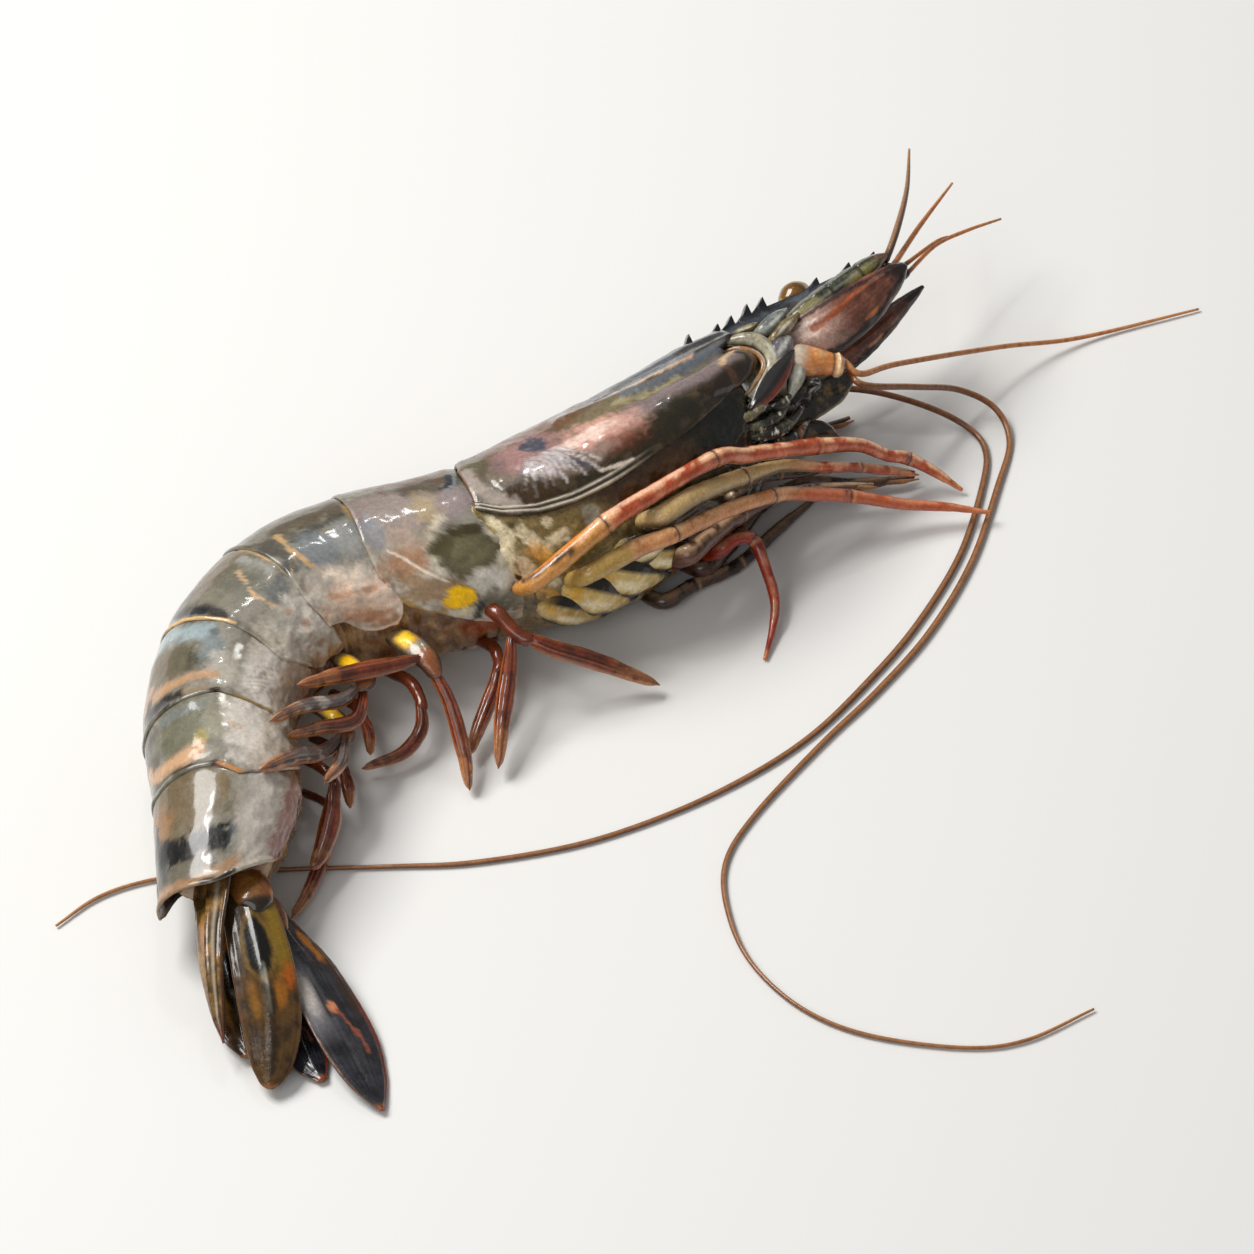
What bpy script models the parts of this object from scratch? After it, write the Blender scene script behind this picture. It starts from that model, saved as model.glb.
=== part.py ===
"""Raw tiger prawn, whole and in its shell, lying on its left side with the tail curled round.

Lengths are millimetres until a mesh or a curve is made. +X runs along the carapace towards the head,
+Y towards the back and +Z up. The origin is under the middle of the whole, feelers included.
"""
import math

import bmesh
import bpy
from mathutils import Vector

MM = 0.001
GAP = 0.3            # clearance between pieces that touch
OVERLAP = 0.35       # how far the rear rim of a ring of shell stands proud of the next one
RING_SIDES = 20
SPLINE_STEPS = 2     # places along a curve for each of its points

# The body's stations from the head end to the tail end: centre x, y, z, then the height towards the
# back and towards the belly, the half width, and how far the back is tipped up, in degrees.
STATIONS = [
    (39.5, 48.5, 16.0, 8.5, 9.5, 8.5, 36),
    (27.0, 49.0, 15.0, 10.0, 11.5, 11.0, 35),
    (11.0, 47.5, 14.2, 12.0, 16.5, 12.5, 33),
    (-4.5, 47.5, 13.1, 13.5, 17.5, 12.5, 30),
    (-18.0, 49.5, 12.5, 13.5, 14.5, 12.5, 26),
    (-27.0, 52.5, 12.3, 13.5, 14.5, 12.5, 22),
    (-35.5, 56.0, 12.2, 13.5, 14.0, 12.5, 18),
    (-46.5, 58.5, 11.8, 13.0, 13.0, 12.2, 13),
    (-59.0, 55.5, 11.3, 12.5, 12.0, 11.8, 9),
    (-70.0, 47.5, 10.7, 11.5, 11.5, 11.2, 6),
    (-77.6, 35.1, 11.0, 11.8, 11.0, 10.2, 4),
    (-89.1, 22.1, 9.2, 10.0, 8.0, 8.2, 2),
]
CARAPACE_FRONT, CARAPACE_REAR = 0.55, 4.18     # stations
THORAX_FRONT = 1.35
CARAPACE_RIM_ANGLE = 94                        # from the back round to the lower edge, in degrees
RIM_GAP_ANGLE = 2                              # between that edge and the top of the thorax
SEGMENT_ENDS = (4.18, 6.06, 7.30, 8.25, 9.25, 10.15, 11.0)
JOINT_HALF = 0.015                             # half the clearance between two rings, in stations


def clear_scene():
    for item in list(bpy.data.objects):
        bpy.data.objects.remove(item, do_unlink=True)


clear_scene()
prawn = bpy.data.collections.new("tiger_prawn")
cutters = bpy.data.collections.new("cutters")
for group in (prawn, cutters):
    bpy.context.scene.collection.children.link(group)


# Materials and the three kinds of shape: lofts, tubes and leaves

def material(name, colour, roughness=0.3):
    made = bpy.data.materials.get(name)
    if made is None:
        made = bpy.data.materials.new(name)
        made.use_nodes = True
        surface = made.node_tree.nodes["Principled BSDF"]
        surface.inputs["Base Color"].default_value = (*colour, 1)
        surface.inputs["Roughness"].default_value = roughness
        surface.inputs["Metallic"].default_value = 0
    return made


SHELL = material("shell", (0.20, 0.21, 0.15), 0.25)
DARK_SHELL = material("dark_shell", (0.05, 0.05, 0.04), 0.2)
FLESH = material("flesh", (0.45, 0.38, 0.20))
LEG = material("leg", (0.45, 0.14, 0.06))
SWIMMERET = material("swimmeret", (0.16, 0.05, 0.03))
FEELER = material("feeler", (0.30, 0.15, 0.06), 0.4)
EYE = material("eye", (0.12, 0.08, 0.03), 0.1)
TAIL_FAN = material("tail_fan", (0.06, 0.05, 0.04), 0.2)


def blend(values, place):
    """Catmull-Rom value of a list of tuples at a place counted in list steps."""
    last = len(values) - 1
    start = max(0, min(int(math.floor(place)), last - 1))
    t = place - start
    p1, p2 = values[start], values[start + 1]
    p0 = values[start - 1] if start > 0 else [2 * a - b for a, b in zip(p1, p2)]
    p3 = values[start + 2] if start + 2 <= last else [2 * b - a for a, b in zip(p1, p2)]
    return [0.5 * (2 * b + (c - a) * t + (2 * a - 5 * b + 4 * c - d) * t ** 2
                   + (3 * b - a - 3 * c + d) * t ** 3) for a, b, c, d in zip(p0, p1, p2, p3)]


def smooth_line(points, steps=SPLINE_STEPS):
    """Closely spaced tuples along a smooth curve through the given ones."""
    count = (len(points) - 1) * steps
    return [blend(points, i / steps) for i in range(count + 1)]


def link(name, mesh, surface, collection):
    made = bpy.data.objects.new(name, mesh)
    mesh.materials.append(surface)
    collection.objects.link(made)
    return made


def loft(name, rings, surface, collection=prawn):
    """Closed solid through rings of equally many points, in order, with a flat face at each end."""
    bm = bmesh.new()
    rows = [[bm.verts.new(Vector((x, y, max(z, 0))) * MM) for x, y, z in ring] for ring in rings]
    sides = len(rows[0])
    for near, far in zip(rows, rows[1:]):
        for i in range(sides):
            j = (i + 1) % sides
            bm.faces.new((near[i], near[j], far[j], far[i]))
    bm.faces.new(rows[0][::-1])
    bm.faces.new(rows[-1])
    bmesh.ops.recalc_face_normals(bm, faces=bm.faces)
    bmesh.ops.triangulate(bm, faces=[face for face in bm.faces if len(face.verts) > 4])
    mesh = bpy.data.meshes.new(name)
    bm.to_mesh(mesh)
    bm.free()
    mesh.shade_smooth()
    mesh.set_sharp_from_angle(angle=math.radians(40))
    return link(name, mesh, surface, collection)


def tube(name, route, surface, roundness=2):
    """Tapering round rod along a route of (x, y, z, radius)."""
    curve = bpy.data.curves.new(name, "CURVE")
    curve.dimensions = "3D"
    curve.bevel_depth = MM
    curve.bevel_resolution = roundness
    curve.use_fill_caps = True
    places = smooth_line(route)
    spline = curve.splines.new("POLY")
    spline.points.add(len(places) - 1)
    for point, (x, y, z, radius) in zip(spline.points, places):
        point.co = (x * MM, y * MM, max(z, radius + 0.05) * MM, 1)
        point.radius = radius
    made = bpy.data.objects.new(name, curve)
    curve.materials.append(surface)
    prawn.objects.link(made)
    return made


def leaf(name, route, face, thickness, surface, collection=prawn, sides=8):
    """Thin pointed blade along a route of (x, y, z, half width), its flat face towards `face`."""
    rings = []
    places = smooth_line(route)
    for k, (x, y, z, half_width) in enumerate(places):
        before, after = places[max(k - 1, 0)], places[min(k + 1, len(places) - 1)]
        along = Vector(after[:3]) - Vector(before[:3])
        across = Vector(face).cross(along).normalized()
        outward = along.cross(across).normalized()
        half_width = max(half_width, 0.3)
        half_thick = min(thickness / 2, half_width)
        ring = []
        for i in range(sides):
            angle = math.tau * i / sides
            ring.append(Vector((x, y, z)) + across * half_width * math.cos(angle)
                        + outward * half_thick * math.sin(angle))
        rings.append(ring)
    return loft(name, rings, surface, collection)


def combine(base, others, operation):
    """Joins other solids to a solid, or cuts them from it."""
    for other in others:
        for holder in list(other.users_collection):
            holder.objects.unlink(other)
        cutters.objects.link(other)
        other.hide_render = True
        other.display_type = "WIRE"
        step = base.modifiers.new(other.name, "BOOLEAN")
        step.operation = operation
        step.object = other
    return base


# Places on the body and round the head

def body_frame(station):
    """Centre, direction to the tail, to the back and to the right side, and the three sizes."""
    x, y, z, back, belly, side, tip = blend(STATIONS, station)
    step = 0.01
    ahead, behind = blend(STATIONS, station - step), blend(STATIONS, station + step)
    tailward = (Vector(behind[:3]) - Vector(ahead[:3])).normalized()
    level = tailward.cross(Vector((0, 0, 1))).normalized()
    upright = level.cross(tailward).normalized()
    angle = math.radians(tip)
    to_back = level * math.cos(angle) + upright * math.sin(angle)
    to_right = upright * math.cos(angle) - level * math.sin(angle)
    return Vector((x, y, z)), tailward, to_back, to_right, back, belly, side


def body_point(station, angle, grow=0.0):
    """Point on the shell: 0 degrees is the back, 90 the right side and 180 the belly."""
    centre, _, to_back, to_right, back, belly, side = body_frame(station)
    c, s = math.cos(math.radians(angle)), math.sin(math.radians(angle))
    height = back if c > 0 else belly
    return centre + to_back * c * (height + grow) + to_right * s * (side + grow)


HEAD = body_frame(0)


def head_point(forward, back, right):
    """Place round the head, from the eyes' root: forward, towards the back, and to the right."""
    centre, tailward, to_back, to_right = HEAD[:4]
    return centre - tailward * forward + to_back * back + to_right * right


def head_route(*points):
    """Route of (x, y, z, size) from points of (forward, back, right, size)."""
    return [(*head_point(forward, back, right), size) for forward, back, right, size in points]


HEAD_RIGHT = HEAD[3]


# Carapace with the toothed rostrum, and the thorax below its rim

def arc_ring(station, start, end, grow, sides):
    angles = [start + (end - start) * i / sides for i in range(sides + 1)]
    return [body_point(station, angle, grow) for angle in angles]


def carapace_rim(station):
    """The rim rises towards both ends of the carapace."""
    rear = max(0, station - 3.7) / (CARAPACE_REAR - 3.7)
    front = max(0, 1.1 - station) / (1.1 - CARAPACE_FRONT)
    return CARAPACE_RIM_ANGLE - 16 * rear ** 2 - 26 * front ** 2


def body_stations(first, last, count):
    return [first + (last - first) * i / count for i in range(count + 1)]


def carapace():
    rings = []
    for station in body_stations(CARAPACE_FRONT, CARAPACE_REAR - 0.02, 10):
        rim = carapace_rim(station)
        rings.append(arc_ring(station, -rim, rim, 0, 16))
    return loft("carapace", rings, DARK_SHELL)


# The rostrum's crest line as (forward, height above the head's axis), and how far its foot is below.
CREST = [(-24.0, 9.6), (-11.5, 8.9), (-4.0, 8.6), (2.0, 8.5), (8.0, 7.5), (18.5, 6.4), (25.0, 5.7)]
TEETH = [(-10.6, 1.7), (-5.6, 1.2), (-3.0, 1.2), (0.2, 1.5), (3.0, 1.5), (12.5, 1.0), (18.4, 1.0), (22.8, 0.9)]
TOOTH_BASE = 2.2
ROSTRUM_THICK = 1.6


def crest_height(forward):
    for (f0, h0), (f1, h1) in zip(CREST, CREST[1:]):
        if forward <= f1:
            break
    return h0 + (h1 - h0) * (forward - f0) / (f1 - f0)


def rostrum():
    """Flat blade standing on the middle of the carapace, with forward-pointing teeth on its crest."""
    outline = [(CREST[0][0], CREST[0][1] - 3.0), (CREST[0][0], CREST[0][1])]
    for tip, height in TEETH:
        root = tip - TOOTH_BASE
        outline += [(root, crest_height(root)), (tip, crest_height(tip) + height),
                    (tip - 0.1, crest_height(tip) - 0.1)]
    outline += [CREST[-1], (CREST[-1][0] - 4, CREST[-1][1] - 1.0), (4.0, 6.0), (-8.0, 5.5)]
    half = ROSTRUM_THICK / 2
    sides = [[head_point(f, h, side) for f, h in outline] for side in (-half, half)]
    return loft("rostrum_blade", sides, DARK_SHELL, cutters)


combine(carapace(), [rostrum()], "UNION")


def thorax():
    """Gill flank and underside, as wide as the carapace above them."""
    rings = []
    for station in body_stations(THORAX_FRONT, CARAPACE_REAR - 0.02, 9):
        top = carapace_rim(station) + RIM_GAP_ANGLE
        rings.append(arc_ring(station, top, 360 - top, -GAP, 16))
    return loft("thorax", rings, FLESH)


# The rounded lobes at the right legs' roots: station and angle of the middle of each
LEG_LOBES = [(3.62, 163), (3.42, 147), (2.98, 153), (2.6, 151), (2.8, 134), (2.25, 150)]
LOBE_LENGTH = 0.42                             # stations
LOBE_HALF_WIDTH, LOBE_THICK, LOBE_DEPTH = 2.2, 2.6, 1.6


def leg_lobes():
    lobes = []
    for number, (station, angle) in enumerate(LEG_LOBES):
        rear = body_point(station + LOBE_LENGTH / 2, angle + 3, -LOBE_DEPTH)
        front = body_point(station - LOBE_LENGTH / 2, angle - 3, -LOBE_DEPTH)
        middle = body_point(station, angle, 1 - LOBE_DEPTH)
        route = [(*rear, 0.8), (*middle, LOBE_HALF_WIDTH), (*front, 0.8)]
        outward = body_point(station, angle, 1.0) - middle
        lobes.append(leaf(f"lobe_{number}", route, outward, LOBE_THICK, FLESH, cutters))
    return lobes


combine(thorax(), leg_lobes(), "UNION")


# Six rings of shell along the abdomen, each wider at its rear rim than the next one's front

def segment(number, first, last):
    rings = []
    for station in body_stations(first + JOINT_HALF, last - JOINT_HALF, 5):
        share = (station - first) / (last - first)
        proud = 2 * OVERLAP * share ** 2 - OVERLAP - 0.2
        rings.append([body_point(station, 360 * i / RING_SIDES, proud) for i in range(RING_SIDES)])
    return loft(f"segment_{number}", rings, SHELL)


for number, ends in enumerate(zip(SEGMENT_ENDS, SEGMENT_ENDS[1:]), start=1):
    segment(number, *ends)


# Tail fan: the telson and two pairs of blades, each a route of (x, y, z, half width)
TAIL = {
    "telson": (((-91.0, 22.6, 10.9, 2.6), (-96.0, 16.6, 10.4, 2.8), (-99.6, 11.4, 8.8, 2.3),
                (-102.4, 6.6, 6.6, 1.4), (-104.6, 2.8, 4.8, 0.2)), (-0.6, 0.45, 0.66), 1.8),
    "uropod_inner_right": (((-87.4, 18.4, 11.6, 2.2), (-89.8, 15.0, 11.0, 3.2), (-93.3, 8.0, 9.2, 4.3),
                            (-97.4, 1.2, 6.0, 4.3), (-101.6, -3.5, 3.4, 3.2), (-103.6, -5.8, 2.2, 0.8)),
                           (0.1, 0.1, 1), 1.2),
    "uropod_outer_right": (((-85.2, 16.4, 7.2, 2.0), (-86.5, 5.0, 4.8, 4.0), (-89.0, -6.0, 2.9, 4.6),
                            (-91.5, -14.0, 1.7, 3.2), (-92.8, -18.5, 1.1, 0.5)), (0.3, 0, 1), 1.0),
    "uropod_inner_left": (((-92.5, 18.2, 4.4, 2.2), (-96.5, 11.0, 3.4, 3.6), (-100.0, 4.5, 2.2, 3.2),
                           (-102.0, 0.5, 1.4, 0.8)), (0, 0, 1), 1.0),
    "uropod_outer_left": (((-89.5, 15.5, 2.8, 2.0), (-92.0, 4.0, 1.6, 3.4), (-95.2, -5.0, 1.0, 2.8),
                           (-96.2, -9.5, 0.8, 0.6)), (0, 0, 1), 0.9),
}
for name, (route, face, thickness) in TAIL.items():
    leaf(name, route, face, thickness, TAIL_FAN)


# Head: front of the head, mouthparts, eyes, feeler stalks and scales, cheek plate

def turned_head(name, profile, centre_back, centre_right, surface):
    """Rounded body along the head's axis from (forward, half height, half width)."""
    rings = []
    for forward, height, width in profile:
        angles = [math.tau * i / 12 for i in range(12)]
        rings.append([head_point(forward, centre_back + height * math.cos(a), centre_right + width * math.sin(a))
                      for a in angles])
    return loft(name, rings, surface)


turned_head("head_front", [(-6.3, 4.6, 3.6), (-2.5, 4.9, 3.7), (1.0, 4.4, 3.4), (3.2, 2.6, 2.4)], -0.2, 0, FLESH)
turned_head("mouthparts", [(-16.0, 4.6, 7.6), (-12.0, 4.7, 7.2), (-9.0, 4.2, 6.0), (-6.4, 2.2, 3.4)],
            -5.9, 0, DARK_SHELL)
tube("eye_right", head_route((-3.4, 4.6, 5.5, 0.9), (-2.4, 5.0, 6.0, 1.9), (-0.8, 5.2, 6.1, 2.1),
                             (0.8, 5.3, 5.9, 1.3), (1.4, 5.3, 5.8, 0.3)), EYE)
tube("eye_left", head_route((3.5, 4.6, -4.6, 1.0), (6.5, 6.4, -5.0, 1.2), (8.6, 7.6, -5.2, 2.2),
                            (10.2, 8.4, -5.4, 2.4), (11.8, 9.2, -5.6, 1.6), (12.4, 9.5, -5.7, 0.3)), EYE)
for side, name in ((1, "right"), (-1, "left")):
    stalk_ends = (4.3, 4.7, 1.3) if side == 1 else (2.0, 2.4, -0.2)
    leaf(f"feeler_stalk_upper_{name}",
         head_route((3.8, 3.2 if side == 1 else 1.6, 2.2 * side, 1.5),
                    (12.5, 4.0 if side == 1 else 1.5, 2.4 * side, 1.3),
                    (19.5, stalk_ends[0], 2.4 * side, 1.1),
                    (22.8 if side == 1 else 26.8, stalk_ends[1], 2.4 * side, 0.8)),
         HEAD_RIGHT, 2.0, SHELL)
leaf("feeler_scale_right", head_route((0.4, 1.7, 4.9, 1.2), (3.5, 0.5, 4.9, 2.6), (8.0, -0.6, 4.9, 3.7),
                                      (14.0, -0.2, 4.9, 3.2), (20.0, 1.2, 4.9, 2.2), (23.6, 2.0, 4.9, 0.6)),
     HEAD_RIGHT, 1.0, SHELL)
leaf("feeler_scale_left", head_route((0.4, -1.6, -4.9, 1.2), (8.0, -3.6, -4.9, 3.0), (16.0, -3.6, -4.9, 2.6),
                                     (24.0, -2.4, -4.6, 1.4), (29.0, -1.5, -4.4, 0.3)), HEAD_RIGHT, 0.9, SHELL)
tube("feeler_base_right", head_route((-0.2, -1.6, 8.0, 1.9), (1.6, -3.1, 8.0, 2.3), (3.4, -4.4, 8.0, 1.9),
                                     (4.0, -4.9, 8.0, 1.3), (4.8, -5.5, 8.0, 1.3)), FLESH)
tube("feeler_base_left", head_route((-0.2, -3.2, -7.6, 1.9), (2.4, -4.4, -7.6, 2.3), (5.0, -5.4, -7.6, 1.8),
                                    (6.4, -6.0, -7.6, 1.2)), FLESH)
leaf("cheek_plate", head_route((-12.6, -4.9, 8.3, 0.6), (-9.0, -3.6, 8.6, 1.6), (-5.6, -2.4, 8.8, 1.5),
                               (-2.6, -0.8, 9.0, 0.3)), HEAD_RIGHT, 0.8, DARK_SHELL)
leaf("jaw_leg_right", head_route((-6.0, -8.8, 1.6, 1.2), (-1.0, -8.7, 1.6, 1.6), (4.5, -8.5, 1.6, 1.5),
                                 (9.2, -7.9, 1.6, 0.3)), HEAD_RIGHT, 1.0, DARK_SHELL)
leaf("jaw_leg_left", head_route((-7.4, -11.2, 4.2, 1.2), (-4.6, -11.2, 4.2, 1.8), (-1.8, -12.0, 4.2, 1.5),
                                (0.1, -14.3, 4.2, 0.3)), HEAD_RIGHT, 1.8, DARK_SHELL)


# Walking legs: five pairs, each a route of (x, y, z, radius) from its root on the thorax to its tip
WALKING_LEGS = {
    "right_1": ((17.0, 32.6, 13.8, 1.0), (22.0, 34.2, 13.0, 1.0), (27.0, 34.6, 10.6, 0.9), (32.0, 33.6, 8.6, 0.8),
                (37.0, 33.0, 7.0, 0.3)),
    "right_2": ((4.5, 28.8, 12.6, 1.3), (9.5, 29.6, 12.4, 1.4), (17.0, 31.6, 10.6, 1.3), (24.5, 33.0, 8.4, 1.1),
                (31.5, 32.0, 6.4, 0.9), (36.5, 30.0, 5.4, 0.7), (41.0, 28.0, 4.5, 0.3)),
    "right_3": ((1.5, 31.6, 20.6, 1.3), (8.5, 31.6, 20.6, 1.6), (18.5, 32.6, 17.0, 1.4), (26.5, 32.6, 14.4, 1.0),
                (33.0, 30.0, 12.0, 0.9), (39.0, 29.0, 8.8, 0.8), (43.5, 28.0, 6.0, 0.8), (48.0, 26.5, 3.8, 0.3)),
    "right_4": ((-12.5, 31.6, 17.4, 1.1), (-4.0, 30.4, 18.4, 1.5), (2.0, 29.0, 18.5, 1.3), (13.0, 29.6, 16.0, 1.2),
                (22.0, 29.6, 13.2, 1.1), (27.5, 28.4, 11.0, 1.1), (34.0, 25.5, 8.5, 1.0), (41.5, 21.5, 5.0, 0.9),
                (47.0, 18.0, 3.6, 0.7), (52.3, 13.8, 2.2, 0.3)),
    "right_5": ((-20.0, 34.6, 18.6, 1.1), (-7.5, 33.8, 23.0, 1.5), (-0.5, 33.4, 24.0, 1.4), (13.5, 33.6, 23.4, 1.3),
                (19.5, 33.4, 20.6, 1.3), (26.0, 32.5, 18.2, 1.2), (32.5, 32.0, 15.2, 1.3), (40.0, 30.5, 11.8, 1.1),
                (44.0, 28.5, 8.6, 1.0), (47.5, 27.5, 6.4, 1.0), (50.6, 24.5, 3.6, 0.8), (53.0, 21.0, 1.0, 0.3)),
    "left_1": ((22.5, 36.4, 6.2, 1.0), (28.0, 39.6, 5.4, 1.0), (34.0, 43.0, 5.0, 0.8), (41.0, 44.0, 4.2, 0.3)),
    "left_2": ((19.0, 35.6, 5.0, 1.0), (24.0, 39.8, 2.4, 1.0), (31.0, 43.4, 1.6, 0.9), (42.0, 45.0, 1.2, 0.7),
               (50.0, 44.0, 0.8, 0.3)),
    "left_3": ((10.5, 32.0, 3.4, 1.1), (18.0, 34.0, 2.2, 1.1), (27.0, 37.4, 2.2, 1.1), (34.5, 36.6, 2.4, 1.0),
               (40.0, 31.5, 2.4, 1.1), (49.0, 27.6, 1.4, 0.3)),
    "left_4": ((12.0, 30.6, 6.8, 0.9), (14.5, 29.8, 8.4, 1.0), (17.0, 28.2, 8.2, 1.0), (16.5, 24.8, 5.6, 0.9),
               (14.5, 20.0, 3.0, 0.8), (11.5, 17.0, 1.5, 0.6), (7.0, 13.5, 0.5, 0.3)),
    "left_5": ((2.0, 31.0, 2.4, 1.0), (8.0, 31.4, 1.6, 1.1), (16.0, 30.6, 1.2, 1.0), (26.0, 32.6, 1.1, 0.9),
               (36.0, 34.4, 0.8, 0.3)),
}
for name, route in WALKING_LEGS.items():
    tube(f"walking_leg_{name}", route, LEG)


# Swimmerets: five pairs, each a short stalk that carries one or two leaves
SWIMMERETS = {
    "right_1": (((-26.0, 36.4, 14.0, 1.6), (-25.6, 32.0, 12.6, 1.5)),
                (((-25.6, 33.4, 12.8, 0.9), (-22.5, 28.5, 11.0, 1.6), (-16.5, 24.5, 7.0, 1.7), (-9.5, 18.5, 2.0, 0.4)),
                 ((-25.8, 33.4, 12.6, 0.9), (-29.5, 29.6, 9.0, 1.6), (-34.0, 25.5, 6.0, 1.6), (-39.0, 20.5, 2.4, 0.4)))),
    "right_2": (((-39.6, 41.0, 13.2, 1.7), (-39.6, 36.0, 13.6, 1.6)),
                (((-39.6, 37.0, 13.4, 1.0), (-40.0, 31.0, 9.6, 1.3), (-42.0, 25.0, 4.5, 1.4), (-44.5, 20.5, 1.5, 0.4)),
                 ((-39.8, 37.0, 13.6, 0.9), (-45.5, 37.8, 15.0, 1.5), (-53.0, 40.2, 16.0, 1.6),
                  (-60.0, 41.6, 17.4, 0.5)))),
    "right_3": (((-48.4, 43.6, 12.0, 1.4), (-48.6, 39.0, 12.6, 1.3)),
                (((-48.8, 40.0, 12.4, 0.9), (-55.0, 37.2, 14.6, 1.4), (-62.0, 37.4, 17.8, 1.3),
                  (-69.5, 35.6, 21.2, 0.4)),
                 ((-48.8, 39.6, 12.0, 0.9), (-54.5, 34.6, 12.2, 1.4), (-61.0, 34.6, 14.8, 1.3),
                  (-67.5, 34.0, 18.0, 0.4)))),
    "right_4": (((-55.6, 38.2, 10.0, 1.2), (-55.8, 34.6, 9.4, 1.1)),
                (((-55.9, 35.6, 9.6, 0.9), (-62.0, 32.6, 12.0, 1.5), (-69.0, 30.6, 17.4, 1.6), (-76.5, 29.2, 20.8, 0.4)),
                 ((-55.8, 35.6, 9.6, 0.9), (-61.0, 30.0, 11.4, 1.3), (-66.5, 27.0, 12.8, 0.4)))),
    "right_5": (((-62.4, 31.8, 8.4, 1.1), (-62.6, 29.0, 7.6, 1.0)),
                (((-62.6, 30.0, 8.0, 0.9), (-66.6, 25.4, 7.0, 1.9), (-70.6, 22.4, 5.6, 1.7), (-74.0, 20.6, 4.6, 0.4)),)),
    "left_1": (((-26.5, 36.6, 6.6, 1.3), (-27.4, 34.0, 6.4, 1.2)),
               (((-27.2, 34.8, 6.4, 0.9), (-31.0, 31.4, 5.4, 1.4), (-36.0, 28.4, 3.6, 1.4), (-40.5, 25.6, 2.0, 0.4)),)),
    "left_2": (((-40.4, 39.2, 6.4, 1.3), (-41.0, 36.0, 6.0, 1.2)),
               (((-41.0, 37.0, 6.2, 0.9), (-43.5, 33.0, 4.4, 1.3), (-48.0, 31.6, 3.0, 1.3), (-54.5, 33.5, 2.2, 0.4)),)),
    "left_3": (((-49.0, 41.4, 5.2, 1.2), (-49.8, 38.4, 5.0, 1.1)),
               (((-49.8, 39.2, 5.1, 0.9), (-51.2, 35.8, 5.4, 1.2), (-53.4, 32.8, 5.2, 0.4)),)),
    "left_4": (((-56.8, 36.6, 5.0, 1.0), (-57.8, 33.4, 4.8, 1.0)),
               (((-57.8, 34.2, 4.9, 0.9), (-59.6, 30.4, 5.0, 1.3), (-62.0, 26.8, 4.6, 0.4)),)),
    "left_5": (((-63.8, 29.8, 3.6, 0.9), (-65.4, 27.6, 3.2, 0.9)),
               (((-65.2, 28.4, 3.3, 0.8), (-69.5, 23.8, 2.6, 1.3), (-75.6, 19.6, 2.0, 1.2), (-80.5, 17.4, 1.6, 0.4)),)),
}
LEAF_FACE = (-0.25, -0.45, 0.85)
for name, (stalk, leaves) in SWIMMERETS.items():
    base = leaf(f"swimmeret_{name}", stalk, LEAF_FACE, 2.2, SWIMMERET)
    blades = [leaf(f"swimmeret_{name}_leaf_{i}", route, LEAF_FACE, 0.9, SWIMMERET, cutters, 6)
              for i, route in enumerate(leaves)]
    combine(base, blades, "UNION")


# Feelers: four short ones from the upper stalks and three long ones that lie on the ground
SHORT_FEELERS = {
    "dark": ((23.5, 5.2, 2.4, 0.6), (68.0, 54.0, 23.5, 0.55), (75.5, 60.5, 22.0, 0.4), (83.0, 68.5, 20.0, 0.2)),
    "orange": ((23.6, 3.6, 2.6, 0.5), (73.0, 54.5, 20.0, 0.4), (84.5, 60.0, 18.0, 0.2)),
    "small": ((27.6, 2.8, -2.4, 0.4), (74.5, 52.5, 17.0, 0.3), (77.5, 53.0, 16.0, 0.2)),
    "bright": ((27.6, 1.6, -2.4, 0.4), (75.5, 53.5, 15.0, 0.35), (82.5, 54.0, 13.5, 0.3), (90.0, 54.5, 11.0, 0.2)),
}
for name, (root, *route) in SHORT_FEELERS.items():
    tube(f"feeler_short_{name}", head_route(root) + route, FEELER, 1)

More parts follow.
